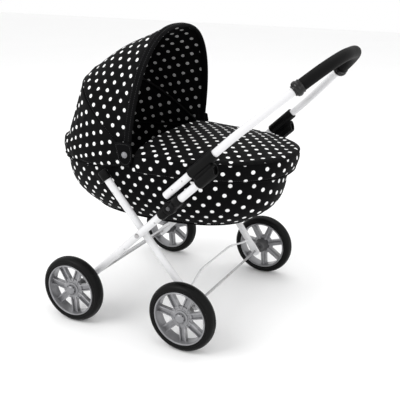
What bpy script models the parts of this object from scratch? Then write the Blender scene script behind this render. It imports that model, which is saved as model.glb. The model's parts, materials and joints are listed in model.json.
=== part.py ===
"""Doll pram: two crossed tube frames on four spoked wheels, a fabric carrycot
with a folding hood and an apron, and a push handle that slides and folds.

Frame of the part: +Z up, +X toward the handle, -Y is the left side of the
person who pushes it.  The origin is on the floor, under the middle of the box.
All lengths are in metres.
"""
import math

import bmesh
import bpy
from mathutils import Matrix, Vector

# ---------------------------------------------------------------- driving sizes
GAP = 0.0003              # gap between faces that touch
SLIDE_FIT = 0.0004        # radial room of a tube that slides or a pin that turns

WHEEL_RADIUS = 0.065
WHEEL_BASE = 0.2372
WHEEL_BESIDE_TUBE = 0.0405  # from a push tube's lower end to the wheel's middle plane
TYRE_WIDTH = 0.0256
TYRE_HEIGHT = 0.0135
TYRE_CROWN = 0.0085       # height of the rounded part of the tread
RIM_WALL = 0.0035
HUB_RADIUS = 0.0125
SPOKES = 7
SPOKE_WIDTH = 0.0115
SPOKE_DEPTH = 0.0090
SPOKE_TURN = 0.530         # radians past upright for the first spoke
HUB_LENGTH = 0.0300
HUB_FACE = 0.0045         # outer face of the hub, from the wheel's middle plane
CAP_HEIGHT = 0.0100
CAP_RADIUS = 0.0140
AXLE_DIAMETER = 0.0050

TUBE_DIAMETER = 0.0140
TUBE_WALL = 0.0012
LUG_THICKNESS = 0.0040
LUG_WIDER = 0.0040        # how much wider than the tube the pressed end is
WIRE_DIAMETER = 0.0040
WIRE_UP = 0.0300           # from the axle up the tubes to the wire's ends
WIRE_BOW = 0.0140

CROSS_UNDER_COT = 0.0005  # how far the cross tubes start inside the cot's widest line
CROSS_TOP_X = -0.0604     # upper end of the cross tubes
CROSS_TOP_Z = 0.2988
CROSS_SPLAY = 0.0205      # how much further apart they are at the top
TUBE_ROOM = 0.0025        # room between a cross tube and its push tube
REST_LENGTH = 0.0200      # block on the cot that a cross tube's cap leans on
REST_HEIGHT = 0.0055
KNUCKLE_X = 0.0900        # folding knuckle of the handle
KNUCKLE_Z = 0.2620
KNUCKLE_BESIDE_COT = 0.0380
KNUCKLE_WALL = 0.0045     # round the tube's radius
KNUCKLE_WIDER = 0.0010    # how much wider than the tube the two discs are together
SLEEVE_LENGTH = 0.0160
SLEEVE_WALL = 0.0022

CLAMP_START = 0.0740      # along the upper tube, from the knuckle's axis
CLAMP_LENGTH = 0.0600
CLAMP_WALL = 0.0032
CLAMP_SHORTER = 0.0125    # the lower barrel is shorter than the upper one
HANDLE_START = 0.0080
HANDLE_BEND = 0.1780
HANDLE_TOP = 0.3520
HANDLE_TOP_HALF = 0.0780
HANDLE_BEND_RADIUS = 0.0700
HANDLE_TOP_RADIUS = 0.1150
FOAM_WALL = 0.0035
GRIP_START = 0.2940       # where the foam starts, on the straight leg below the arch
COLLAR_PROUD = 0.0030     # how far a collar stands out of the foam
COLLAR_LENGTH = 0.0170

COT_HALF_LENGTH = 0.2275
COT_HALF_WIDTH = 0.1420
COT_RIM_Z = 0.3230
COT_DEPTH = 0.1230
COT_WALL = 0.0040
PLAN_POWER = 2.35         # 2 is an ellipse, higher is squarer
HOOP_DIAMETER = 0.0046
BOARD_THICKNESS = 0.0030
MATTRESS_HEIGHT = 0.0220
LINING_ROOM = 0.0015      # between the board and the cot's wall

APRON_FROM_HINGE = 0.0167  # from the hood's hinge to the apron's back edge
APRON_OVERHANG_END = 0.0190
APRON_OVERHANG_SIDE = 0.0055
APRON_THICKNESS = 0.0026
APRON_HEM_DROP = 0.0290   # how far the skirt hangs below the hoop's top
APRON_CROWN = 0.0220

HOOD_X = -0.0187
HOOD_ABOVE_HOOP = 0.0061
HOOD_HEIGHT = 0.2185
HOOD_BACK_HEIGHT = 0.1935
HOOD_BESIDE_COT = 0.0045
HOOD_POWER = 2.5
HOOD_WALL = 0.0016
HOOD_LAYER = 0.0025       # from one nested panel to the next
HOOD_FRONT_ANGLE = 82.0   # degrees above +X
HOOD_MIDDLE_ANGLE = 110.0
HOOD_REAR_ANGLE = 142.0
HOOD_END_ANGLE = 178.5
BOW_DIAMETER = 0.0044
RIVET_DIAMETER = 0.0042

SIDES = ((-1, "left"), (1, "right"))
ENDS = ((-1, "front"), (1, "rear"))


# ---------------------------------------------------------------- small helpers
def clear_scene():
    for item in list(bpy.data.objects):
        bpy.data.objects.remove(item, do_unlink=True)


def material(name, colour, roughness, metallic=0.0):
    made = bpy.data.materials.new(name)
    made.use_nodes = True
    shader = made.node_tree.nodes["Principled BSDF"]
    shader.inputs["Base Color"].default_value = (*colour, 1.0)
    shader.inputs["Roughness"].default_value = roughness
    shader.inputs["Metallic"].default_value = metallic
    return made


def add_object(name, mesh, look=None, smooth=None):
    made = bpy.data.objects.new(name, mesh)
    bpy.context.scene.collection.objects.link(made)
    if look:
        mesh.materials.append(look)
    if smooth:
        mesh.shade_smooth()
        mesh.set_sharp_from_angle(angle=math.radians(smooth))
    return made


def mesh_from(name, points, faces):
    mesh = bpy.data.meshes.new(name)
    work = bmesh.new()
    corners = [work.verts.new(p) for p in points]
    for face in faces:
        work.faces.new([corners[i] for i in face])
    bmesh.ops.remove_doubles(work, verts=work.verts, dist=1e-6)
    bmesh.ops.recalc_face_normals(work, faces=work.faces)
    work.to_mesh(mesh)
    work.free()
    return mesh


def loft(name, rings, closed=False):
    """Skin a row of rings; the first and last are capped unless it is closed."""
    count = len(rings[0])
    points = [p for ring in rings for p in ring]
    spans = len(rings) if closed else len(rings) - 1
    faces = []
    for i in range(spans):
        a = i * count
        b = ((i + 1) % len(rings)) * count
        for j in range(count):
            k = (j + 1) % count
            faces.append((a + j, a + k, b + k, b + j))
    if not closed:
        faces.append(tuple(range(count)))
        faces.append(tuple(range(len(points) - count, len(points))))
    return mesh_from(name, points, faces)


def turned(name, profile, centre, segments=24):
    """A closed profile of (radius, y) turned about the line along Y in centre."""
    rings = []
    for i in range(segments):
        a = 2 * math.pi * i / segments
        rings.append([centre + Vector((r * math.cos(a), y, r * math.sin(a)))
                      for r, y in profile])
    return loft(name, rings, closed=True)


def frames_along(path):
    """Two directions square to the path in each of its points."""
    tangents = []
    for i, point in enumerate(path):
        before = path[max(i - 1, 0)]
        after = path[min(i + 1, len(path) - 1)]
        tangents.append((after - before).normalized())
    side = tangents[0].orthogonal().normalized()
    result = []
    for tangent in tangents:
        side = (side - tangent * side.dot(tangent)).normalized()
        result.append((side, tangent.cross(side)))
    return result


def swept(name, path, radius, sides=12):
    rings = []
    for point, (u, v) in zip(path, frames_along(path)):
        rings.append([point + radius * (math.cos(2 * math.pi * k / sides) * u
                                        + math.sin(2 * math.pi * k / sides) * v)
                      for k in range(sides)])
    return loft(name, rings)


def rod(name, start, end, radius, sides=12):
    return swept(name, [start, end], radius, sides)


def block(name, centre, size, turn=None):
    mesh = bpy.data.meshes.new(name)
    work = bmesh.new()
    bmesh.ops.create_cube(work, size=1.0)
    place = Matrix.Translation(centre) @ (turn or Matrix()) @ Matrix.Diagonal((*size, 1.0))
    bmesh.ops.transform(work, matrix=place, verts=work.verts)
    work.to_mesh(mesh)
    work.free()
    return mesh


def combine(target, mesh, operation):
    """Boolean of a mesh into an object, applied at once."""
    tool = add_object("cutter", mesh)
    change = target.modifiers.new("shape", "BOOLEAN")
    change.operation = operation
    change.solver = "EXACT"
    change.object = tool
    bpy.context.view_layer.update()
    seen = target.evaluated_get(bpy.context.evaluated_depsgraph_get())
    result = bpy.data.meshes.new_from_object(seen)
    target.modifiers.clear()
    target.data = result
    bpy.data.objects.remove(tool, do_unlink=True)


def rounded(corners, radii, step=math.radians(11)):
    """A path through corners with an arc of the given radius at each inner one."""
    path = [corners[0]]
    for before, corner, after, radius in zip(corners, corners[1:], corners[2:], radii):
        a = (before - corner).normalized()
        b = (after - corner).normalized()
        turn = math.pi - a.angle(b)
        reach = radius * math.tan(turn / 2)
        centre = corner + (a + b).normalized() * (radius / math.cos(turn / 2))
        first = corner + a * reach - centre
        axis = first.cross(corner + b * reach - centre).normalized()
        steps = max(2, round(turn / step))
        for i in range(steps + 1):
            path.append(centre + Matrix.Rotation(turn * i / steps, 3, axis) @ first)
    path.append(corners[-1])
    return path


def power_curve(angle, power):
    c = math.cos(angle)
    s = math.sin(angle)
    return (math.copysign(abs(c) ** (2 / power), c), math.copysign(abs(s) ** (2 / power), s))


def plan_ring(half_length, half_width, z, count=32):
    ring = []
    for i in range(count):
        x, y = power_curve(2 * math.pi * i / count, PLAN_POWER)
        ring.append(Vector((half_length * x, half_width * y, z)))
    return ring


# ---------------------------------------------------------------- worked-out places
AXLE_X = WHEEL_BASE / 2
AXLE_Z = WHEEL_RADIUS
TYRE_INNER_RADIUS = WHEEL_RADIUS - TYRE_HEIGHT
TUBE_RADIUS = TUBE_DIAMETER / 2
LUG_WIDTH = TUBE_DIAMETER + LUG_WIDER
SLEEVE_RADIUS = TUBE_RADIUS + SLEEVE_WALL
CROSS_Y_BOTTOM = COT_HALF_WIDTH - CROSS_UNDER_COT
KNUCKLE_Y = COT_HALF_WIDTH + KNUCKLE_BESIDE_COT
KNUCKLE_RADIUS = TUBE_RADIUS + KNUCKLE_WALL
KNUCKLE_WIDTH = TUBE_DIAMETER + KNUCKLE_WIDER
KNUCKLE = Vector((KNUCKLE_X, 0, KNUCKLE_Z))
CLAMP_RADIUS = TUBE_RADIUS + CLAMP_WALL
GRIP_DIAMETER = TUBE_DIAMETER + 2 * FOAM_WALL
COLLAR_DIAMETER = GRIP_DIAMETER + 2 * COLLAR_PROUD


def crossing():
    """Where the two side tubes cross, seen from the side, and the share of the
    cross tube's length that lies below it."""
    rise_x = CROSS_TOP_X - AXLE_X
    rise_z = CROSS_TOP_Z - AXLE_Z
    push_x = KNUCKLE_X + AXLE_X
    push_z = KNUCKLE_Z - AXLE_Z
    share = (2 * AXLE_X * push_z) / (rise_z * push_x - rise_x * push_z)
    return Vector((AXLE_X + rise_x * share, 0, AXLE_Z + rise_z * share)), share


CROSSING, CROSS_SHARE = crossing()
CROSS_Y_PIVOT = CROSS_Y_BOTTOM + CROSS_SPLAY * CROSS_SHARE
PUSH_Y_PIVOT = CROSS_Y_PIVOT + TUBE_DIAMETER + TUBE_ROOM
PUSH_SHARE = (CROSSING.x + AXLE_X) / (KNUCKLE_X + AXLE_X)
PUSH_Y_BOTTOM = (PUSH_Y_PIVOT - PUSH_SHARE * KNUCKLE_Y) / (1 - PUSH_SHARE)
WHEEL_Y = PUSH_Y_BOTTOM + WHEEL_BESIDE_TUBE
PUSH_SLOPE = math.atan2(KNUCKLE_Z - AXLE_Z, KNUCKLE_X + AXLE_X)
ALONG = Vector((math.cos(PUSH_SLOPE), 0, math.sin(PUSH_SLOPE)))
ABOVE = Vector((-math.sin(PUSH_SLOPE), 0, math.cos(PUSH_SLOPE)))
HANDLE_RISE = 2 * CLAMP_RADIUS
HOOP_TOP = COT_RIM_Z + GAP + HOOP_DIAMETER
HOOD_Z = HOOP_TOP + HOOD_ABOVE_HOOP
HOOD_HALF_WIDTH = COT_HALF_WIDTH + HOOD_BESIDE_COT
APRON_BACK_X = HOOD_X + APRON_FROM_HINGE


def push_bottom(side):
    return Vector((-AXLE_X, side * PUSH_Y_BOTTOM, AXLE_Z))


def push_top(side):
    return Vector((KNUCKLE_X, side * KNUCKLE_Y, KNUCKLE_Z))


def cross_bottom(side):
    return Vector((AXLE_X, side * CROSS_Y_BOTTOM, AXLE_Z))


def cross_top(side):
    return Vector((CROSS_TOP_X, side * (CROSS_Y_BOTTOM + CROSS_SPLAY), CROSS_TOP_Z))


def on_upper(side, along, above=0.0):
    """A point beside the upper tubes, from the knuckle's axis."""
    return KNUCKLE + ALONG * along + ABOVE * above + Vector((0, side * KNUCKLE_Y, 0))


def cot_size(share):
    """Half length, half width and height of the cot, from rim (0) to floor (1)."""
    length = COT_HALF_LENGTH * (1 - 0.25 * share ** 5.0 - 0.03 * share)
    width = COT_HALF_WIDTH * (1 - 0.31 * share ** 2.8 - 0.02 * share)
    return length, width, COT_RIM_Z - COT_DEPTH * share


def cot_side(x, z):
    """Half width of the cot at a place along it and a height."""
    length, width, _ = cot_size((COT_RIM_Z - z) / COT_DEPTH)
    return width * (1 - (abs(x) / length) ** PLAN_POWER) ** (1 / PLAN_POWER)


# ---------------------------------------------------------------- finishes
def finishes():
    return {
        "white_coat": material("white_coat", (0.87, 0.87, 0.88), 0.28),
        "black_plastic": material("black_plastic", (0.012, 0.012, 0.013), 0.42),
        "black_foam": material("black_foam", (0.010, 0.010, 0.011), 0.70),
        "black_rubber": material("black_rubber", (0.012, 0.012, 0.012), 0.60),
        "grey_plastic": material("grey_plastic", (0.16, 0.16, 0.17), 0.38),
        "steel": material("steel", (0.55, 0.55, 0.56), 0.30, 1.0),
        "black_fabric": material("black_fabric", (0.010, 0.010, 0.012), 0.80),
        "lining": material("lining", (0.020, 0.020, 0.022), 0.85),
        "board": material("board", (0.10, 0.085, 0.07), 0.80),
    }


# ---------------------------------------------------------------- wheels
def wheel(side, end, side_name, end_name, looks):
    centre = Vector((end * AXLE_X, side * WHEEL_Y, AXLE_Z))
    tag = f"{end_name}_{side_name}"
    half = TYRE_WIDTH / 2
    crown = TYRE_CROWN * 0.7
    tyre = [(TYRE_INNER_RADIUS, -half), (WHEEL_RADIUS - crown, -half),
            (WHEEL_RADIUS, -half + crown), (WHEEL_RADIUS, half - crown),
            (WHEEL_RADIUS - crown, half), (TYRE_INNER_RADIUS, half)]
    add_object(f"tyre_{tag}", turned("tyre", tyre, centre), looks["black_rubber"], 40)

    rim_outer = TYRE_INNER_RADIUS - GAP
    rim_inner = rim_outer - RIM_WALL
    rim_half = half - 0.0015
    rim = [(rim_inner, -rim_half), (rim_outer, -rim_half),
           (rim_outer, rim_half), (rim_inner, rim_half)]
    disc = add_object(f"wheel_disc_{tag}", turned("rim", rim, centre), looks["grey_plastic"])
    bore = AXLE_DIAMETER / 2 + SLIDE_FIT
    out = side * HUB_FACE
    into = out - side * HUB_LENGTH
    hub = [(bore, into), (HUB_RADIUS * 0.75, into), (HUB_RADIUS, out), (bore, out)]
    combine(disc, turned("hub", hub, centre, 14), "UNION")
    reach = rim_inner + RIM_WALL / 2 - HUB_RADIUS * 0.6
    for i in range(SPOKES):
        angle = 2 * math.pi * i / SPOKES + math.pi / 2 + SPOKE_TURN
        turn = Matrix.Rotation(-angle, 4, "Y")
        middle = HUB_RADIUS * 0.6 + reach / 2
        place = centre + turn @ Vector((middle, 0, 0)) - Vector((0, side * 0.001, 0))
        combine(disc, block("spoke", place, (reach, SPOKE_DEPTH, SPOKE_WIDTH), turn), "UNION")

    face = side * (HUB_FACE + GAP)
    peak = side * (HUB_FACE + CAP_HEIGHT)
    room = AXLE_DIAMETER / 2 + 0.0015
    cap = [(0.0, face + side * 0.0070), (room, face + side * 0.0070), (room, face),
           (CAP_RADIUS * 0.85, face), (CAP_RADIUS * 0.80, face + side * 0.0035),
           (CAP_RADIUS * 0.48, peak - side * 0.0010), (0.0, peak)]
    add_object(f"hub_cap_{tag}", turned_solid("cap", cap, centre, 12),
               looks["grey_plastic"], 40)


def turned_solid(name, profile, centre, segments):
    """Turn a profile whose two ends lie on the axis."""
    points = [centre + Vector((0, profile[0][1], 0)), centre + Vector((0, profile[-1][1], 0))]
    inner = profile[1:-1]
    faces = []
    for i in range(segments):
        a = 2 * math.pi * i / segments
        points += [centre + Vector((r * math.cos(a), y, r * math.sin(a))) for r, y in inner]
    row = len(inner)
    for i in range(segments):
        a = 2 + i * row
        b = 2 + ((i + 1) % segments) * row
        for j in range(row - 1):
            faces.append((a + j, a + j + 1, b + j + 1, b + j))
        faces.append((0, a, b))
        faces.append((1, b + row - 1, a + row - 1))
    return mesh_from(name, points, faces)


# ---------------------------------------------------------------- frame tubes
def flat_ended_tube(name, bottom, top, looks):
    """A tube whose lower end is pressed flat into a lug round the axle."""
    run = top - bottom
    direction = run.normalized()
    across = Vector((0, 1, 0))
    flat = direction.cross(across).normalized()
    thick = flat.cross(direction).normalized()
    sections = ((-0.0090, 0.55, LUG_THICKNESS / 2), (-0.0050, 0.92, LUG_THICKNESS / 2),
                (0.0, 1.0, LUG_THICKNESS / 2), (0.0100, 1.0, LUG_THICKNESS / 2))
    rings = []
    sides = 12
    for along, wide, half in sections:
        rings.append([bottom + direction * along
                      + flat * (LUG_WIDTH / 2 * wide * math.cos(2 * math.pi * k / sides))
                      + thick * (half * max(-1, min(1, 1.8 * math.sin(2 * math.pi * k / sides))))
                      for k in range(sides)])
    for along in (0.0260, run.length):
        rings.append([bottom + direction * along
                      + flat * (TUBE_RADIUS * math.cos(2 * math.pi * k / sides))
                      + thick * (TUBE_RADIUS * math.sin(2 * math.pi * k / sides))
                      for k in range(sides)])
    made = add_object(name, loft(name, rings), looks["white_coat"])
    inside = rod("bore", bottom + direction * 0.0300, top + direction * 0.002,
                 TUBE_RADIUS - TUBE_WALL, sides)
    combine(made, inside, "DIFFERENCE")
    reach = Vector((0, 0.012, 0))
    combine(made, rod("hole", bottom - reach, bottom + reach,
                      AXLE_DIAMETER / 2 + SLIDE_FIT, 8), "DIFFERENCE")
    return made


def bore_for_pivot(tube, side):
    start = CROSSING + Vector((0, side * (CROSS_Y_PIVOT - 0.02), 0))
    end = CROSSING + Vector((0, side * (PUSH_Y_PIVOT + 0.02), 0))
    combine(tube, rod("hole", start, end, AXLE_DIAMETER / 2 + SLIDE_FIT, 8), "DIFFERENCE")


def side_tubes(side, name, looks):
    run = (push_top(side) - push_bottom(side)).normalized()
    end = push_top(side) - run * (KNUCKLE_RADIUS + 0.0030)
    push = flat_ended_tube(f"push_tube_{name}", push_bottom(side), end, looks)
    bore_for_pivot(push, side)
    cross = flat_ended_tube(f"cross_tube_{name}", cross_bottom(side), cross_top(side), looks)
    bore_for_pivot(cross, side)

    inner = CROSS_Y_PIVOT - TUBE_RADIUS
    outer = PUSH_Y_PIVOT + TUBE_RADIUS
    bolt = [(0.0, inner - 0.0050), (AXLE_DIAMETER / 2, inner - 0.0050),
            (AXLE_DIAMETER / 2, outer + 2 * GAP), (0.0046, outer + 2 * GAP),
            (0.0042, outer + 0.0022), (0.0, outer + 0.0030)]
    add_object(f"pivot_bolt_{name}",
               turned_solid("bolt", [(r, side * y) for r, y in bolt], CROSSING, 12),
               looks["steel"], 40)
    nut_room = (AXLE_DIAMETER / 2 + GAP) / math.cos(math.pi / 6)
    nut = [(nut_room, inner - 0.0046), (0.0048, inner - 0.0046),
           (0.0048, inner - 0.0006), (nut_room, inner - 0.0006)]
    add_object(f"pivot_nut_{name}",
               turned("nut", [(r, side * y) for r, y in nut], CROSSING, 6), looks["steel"])
    middle = (CROSS_Y_PIVOT + PUSH_Y_PIVOT) / 2
    half = TUBE_ROOM / 2 - 0.0006
    washer_room = AXLE_DIAMETER / 2 + SLIDE_FIT
    washer = [(washer_room, middle - half), (0.0052, middle - half),
              (0.0052, middle + half), (washer_room, middle + half)]
    add_object(f"pivot_washer_{name}",
               turned("washer", [(r, side * y) for r, y in washer], CROSSING, 12),
               looks["black_plastic"])


def axles(looks):
    half = WHEEL_Y + HUB_FACE + 0.0055
    for end, name in ENDS:
        centre = Vector((end * AXLE_X, 0, AXLE_Z))
        reach = Vector((0, half, 0))
        add_object(f"{name}_axle", rod("axle", centre - reach, centre + reach,
                                       AXLE_DIAMETER / 2, 10), looks["steel"], 40)


def brace_wires(looks):
    """A bowed wire above each axle, from side tube to side tube."""
    for end, name in ENDS:
        bottom = push_bottom(1) if end < 0 else cross_bottom(1)
        top = push_top(1) if end < 0 else cross_top(1)
        slope = (top - bottom)
        slope.y = 0
        splay = (top.y - bottom.y) / slope.length
        slope.normalize()
        end_y = bottom.y + splay * WIRE_UP - TUBE_RADIUS - GAP
        axle = Vector((end * AXLE_X, 0, AXLE_Z))

        def at(y, up):
            return axle + slope * up + Vector((0, y, 0))

        corners = [at(-end_y, WIRE_UP), at(-0.110, WIRE_UP + 0.0010),
                   at(-0.060, WIRE_UP + WIRE_BOW), at(0.060, WIRE_UP + WIRE_BOW),
                   at(0.110, WIRE_UP + 0.0010), at(end_y, WIRE_UP)]
        path = rounded(corners, (0.030, 0.045, 0.045, 0.030), math.radians(14))
        add_object(f"{name}_brace_wire", swept("wire", path, WIRE_DIAMETER / 2, 6),
                   looks["white_coat"], 40)


def cross_tube_ends(side, name, looks):
    """Cap on the cross tube's top, and the rest on the cot that it leans on."""
    top = cross_top(side)
    run = (top - cross_bottom(side)).normalized()
    outer = SLEEVE_RADIUS
    inner = TUBE_RADIUS + GAP
    cap = add_object(f"cross_tube_cap_{name}",
                     rod("cap", top - run * 0.016, top + run * 0.0030, outer, 12),
                     looks["black_plastic"])
    combine(cap, rod("room", top - run * 0.020, top + run * GAP, inner, 12), "DIFFERENCE")

    square = Vector((run.z, 0, -run.x)).normalized() * -1
    middle = top - run * 0.006 + square * (outer + 0.0035)
    reach = REST_LENGTH / 2
    inside = cot_side(abs(middle.x) - reach, middle.z + reach) + GAP
    outside = top.y * side + 0.004
    middle.y = side * (inside + outside) / 2
    turn = Matrix.Rotation(-math.atan2(run.z, run.x), 4, "Y")
    add_object(f"frame_rest_{name}",
               block("rest", middle, (REST_LENGTH, outside - inside, REST_HEIGHT), turn),
               looks["black_plastic"])


# ---------------------------------------------------------------- knuckle and clamp
def knuckle(side, name, looks):
    centre = push_top(side)
    run = (push_top(side) - push_bottom(side)).normalized()
    half = KNUCKLE_WIDTH / 2
    fixed = [(0.0, -half), (KNUCKLE_RADIUS, -half), (KNUCKLE_RADIUS, -GAP / 2), (0.0, -GAP / 2)]
    base = add_object(f"knuckle_base_{name}",
                      turned_solid("base", [(r, side * y) for r, y in fixed], centre, 14),
                      looks["black_plastic"])
    turning = [(r, -y) for r, y in fixed]
    lever = add_object(f"knuckle_lever_{name}",
                       turned_solid("lever", [(r, side * y) for r, y in turning], centre, 14),
                       looks["black_plastic"])
    start = KNUCKLE_RADIUS + 0.0010
    sleeve_start = centre - run * start
    sleeve_end = centre - run * (start + SLEEVE_LENGTH)
    combine(base, rod("sleeve", sleeve_start, sleeve_end, SLEEVE_RADIUS, 12), "UNION")
    neck = centre - ALONG * (start * 0.75) - Vector((0, side * (half + GAP) / 2, 0))
    turn = Matrix.Rotation(-PUSH_SLOPE, 4, "Y")
    combine(base, block("neck", neck, (0.012, half - GAP, 0.012), turn), "UNION")
    room_start = centre - run * (start + 0.0018)
    room_end = centre - run * (start + SLEEVE_LENGTH + 0.004)
    combine(base, rod("room", room_start, room_end, TUBE_RADIUS + GAP, 12), "DIFFERENCE")

    sleeve_start = centre + ALONG * start
    sleeve_end = centre + ALONG * (start + SLEEVE_LENGTH)
    combine(lever, rod("sleeve", sleeve_start, sleeve_end, SLEEVE_RADIUS, 12), "UNION")
    neck = centre + ALONG * (start * 0.75) + Vector((0, side * (half + GAP) / 2, 0))
    combine(lever, block("neck", neck, (0.012, half - GAP, 0.012), turn), "UNION")
    room_start = centre + ALONG * (start + 0.0018)
    room_end = centre + ALONG * (start + SLEEVE_LENGTH + 0.004)
    combine(lever, rod("room", room_start, room_end, TUBE_RADIUS + GAP, 12), "DIFFERENCE")

    pin_room = RIVET_DIAMETER / 2 + SLIDE_FIT
    reach = Vector((0, half + 0.004, 0))
    for part in (base, lever):
        combine(part, rod("hole", centre - reach, centre + reach, pin_room, 8), "DIFFERENCE")
    shank = RIVET_DIAMETER / 2
    pin = [(0.0, -half - 0.0016), (0.0040, -half - 0.0012), (0.0040, -half - GAP),
           (shank, -half - GAP), (shank, half + GAP), (0.0040, half + GAP),
           (0.0040, half + 0.0012), (0.0, half + 0.0018)]
    add_object(f"knuckle_rivet_{name}",
               turned_solid("rivet", [(r, side * y) for r, y in pin], centre, 10),
               looks["steel"], 40)


def upper_tube(side, name, looks):
    start = KNUCKLE_RADIUS + 0.0030
    end = CLAMP_START + CLAMP_LENGTH - CLAMP_SHORTER - 0.0030
    tube = add_object(f"upper_tube_{name}",
                      rod("tube", on_upper(side, start), on_upper(side, end), TUBE_RADIUS, 12),
                      looks["white_coat"])
    combine(tube, rod("bore", on_upper(side, start - 0.001), on_upper(side, end + 0.001),
                      TUBE_RADIUS - TUBE_WALL, 12), "DIFFERENCE")


def clamp(side, name, looks):
    start = CLAMP_START
    end = CLAMP_START + CLAMP_LENGTH
    short = end - CLAMP_SHORTER
    body = add_object(f"handle_clamp_{name}",
                      rod("upper", on_upper(side, start, HANDLE_RISE),
                          on_upper(side, end, HANDLE_RISE), CLAMP_RADIUS, 14),
                      looks["black_plastic"])
    combine(body, rod("lower", on_upper(side, start), on_upper(side, short),
                      CLAMP_RADIUS, 14), "UNION")
    middle = on_upper(side, (start + short) / 2, HANDLE_RISE / 2)
    turn = Matrix.Rotation(-PUSH_SLOPE, 4, "Y")
    web = (short - start - 0.002, 0.0120, 0.0110)
    combine(body, block("web", middle, web, turn), "UNION")
    combine(body, rod("bore", on_upper(side, start - 0.002, HANDLE_RISE),
                      on_upper(side, end + 0.002, HANDLE_RISE),
                      TUBE_RADIUS + SLIDE_FIT, 12), "DIFFERENCE")
    combine(body, rod("bore", on_upper(side, start - 0.002), on_upper(side, short + 0.002),
                      TUBE_RADIUS + GAP, 12), "DIFFERENCE")


# ---------------------------------------------------------------- handle
def handle_path():
    def at(along, y):
        return KNUCKLE + ALONG * along + ABOVE * HANDLE_RISE + Vector((0, y, 0))

    corners = [at(HANDLE_START, -KNUCKLE_Y), at(HANDLE_BEND, -KNUCKLE_Y),
               at(HANDLE_TOP, -HANDLE_TOP_HALF), at(HANDLE_TOP, HANDLE_TOP_HALF),
               at(HANDLE_BEND, KNUCKLE_Y), at(HANDLE_START, KNUCKLE_Y)]
    return rounded(corners, (HANDLE_BEND_RADIUS, HANDLE_TOP_RADIUS,
                             HANDLE_TOP_RADIUS, HANDLE_BEND_RADIUS))


def stretch(path, start, end):
    """The part of a path whose points lie between two heights along the handle."""
    def height(point):
        return (point - KNUCKLE).dot(ALONG)

    kept = []
    for a, b in zip(path, path[1:]):
        for level in (start, end):
            low = height(a) - level
            high = height(b) - level
            if low * high < 0:
                kept.append(a.lerp(b, low / (low - high)))
        if start < height(b) < end:
            kept.append(b)
    return kept


def handle(looks):
    path = handle_path()
    tube = add_object("handle_tube", swept("handle", path, TUBE_RADIUS, 12), looks["white_coat"])
    longer = [path[0] - ALONG * 0.001] + path[1:-1] + [path[-1] - ALONG * 0.001]
    combine(tube, swept("bore", longer, TUBE_RADIUS - TUBE_WALL, 8), "DIFFERENCE")
    foam_path = stretch(path, GRIP_START, 1.0)
    grip = add_object("foam_grip", swept("grip", foam_path, GRIP_DIAMETER / 2, 12),
                      looks["black_foam"], 40)
    combine(grip, swept("room", stretch(path, GRIP_START - 0.01, 1.0),
                        TUBE_RADIUS + GAP, 12), "DIFFERENCE")
    for side, name in SIDES:
        ends = stretch(path, GRIP_START - COLLAR_LENGTH * 0.85, GRIP_START - GAP)
        ends = [p for p in ends if p.y * side > 0]
        low = min(ends, key=lambda p: p.z)
        high = max(ends, key=lambda p: p.z)
        axis = (high - low).normalized()
        length = (high - low).length
        rings = []
        for share, wide in ((0.0, 0.62), (0.18, 0.86), (0.42, 1.0), (0.70, 0.97), (1.0, 0.80)):
            rings.append((low + axis * (length * share), COLLAR_DIAMETER / 2 * wide))
        u = axis.orthogonal().normalized()
        v = axis.cross(u)
        skin = [[p + r * (math.cos(2 * math.pi * k / 14) * u + math.sin(2 * math.pi * k / 14) * v)
                 for k in range(14)] for p, r in rings]
        collar = add_object(f"grip_collar_{name}", loft("collar", skin),
                            looks["black_plastic"])
        combine(collar, rod("room", low - axis * 0.002, high + axis * 0.002,
                            TUBE_RADIUS + GAP, 12), "DIFFERENCE")


# ---------------------------------------------------------------- carrycot
def cot_rings(inset, shares):
    rings = []
    for share in shares:
        length, width, z = cot_size(share)
        rings.append(plan_ring(length - inset, width - inset, z))
    return rings


def carrycot(looks):
    shares = (0.0, 0.32, 0.58, 0.76, 0.87, 0.95, 1.0)
    outer = cot_rings(0.0, shares)
    floor = (COT_DEPTH - COT_WALL) / COT_DEPTH
    inner = cot_rings(COT_WALL, [s * floor for s in shares])
    add_object("carrycot_shell", loft("shell", outer[::-1] + inner),
               looks["black_fabric"], 40)
    ring = plan_ring(COT_HALF_LENGTH - HOOP_DIAMETER / 2 - 0.0002,
                     COT_HALF_WIDTH - HOOP_DIAMETER / 2 - 0.0002, 0.0)
    hoop_z = COT_RIM_Z + GAP + HOOP_DIAMETER / 2
    rings = []
    for i, point in enumerate(ring):
        ahead = ring[(i + 1) % len(ring)] - ring[i - 1]
        out = Vector((ahead.y, -ahead.x, 0)).normalized()
        rings.append([point + Vector((0, 0, hoop_z))
                      + HOOP_DIAMETER / 2 * (math.cos(2 * math.pi * k / 6) * out
                                             + Vector((0, 0, math.sin(2 * math.pi * k / 6))))
                      for k in range(6)])
    add_object("rim_hoop", loft("hoop", rings, closed=True), looks["black_plastic"], 40)

    floor_z = COT_RIM_Z - COT_DEPTH + COT_WALL + GAP
    length, width, _ = cot_size((COT_DEPTH - COT_WALL) / COT_DEPTH)
    length -= COT_WALL + LINING_ROOM
    width -= COT_WALL + LINING_ROOM
    board_top = floor_z + BOARD_THICKNESS
    board = [plan_ring(length, width, z) for z in (floor_z, board_top)]
    add_object("base_board", loft("board", board), looks["board"])
    low = board_top + GAP
    length, width, _ = cot_size(0.93)
    length -= COT_WALL + 0.0020
    width -= COT_WALL + 0.0020
    pad = []
    for share, wide in ((0.0, 0.92), (0.25, 0.98), (0.60, 1.0), (0.85, 0.95), (1.0, 0.80)):
        pad.append(plan_ring(length * wide, width * wide, low + MATTRESS_HEIGHT * share))
    add_object("mattress", loft("pad", pad), looks["lining"], 60)


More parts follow.
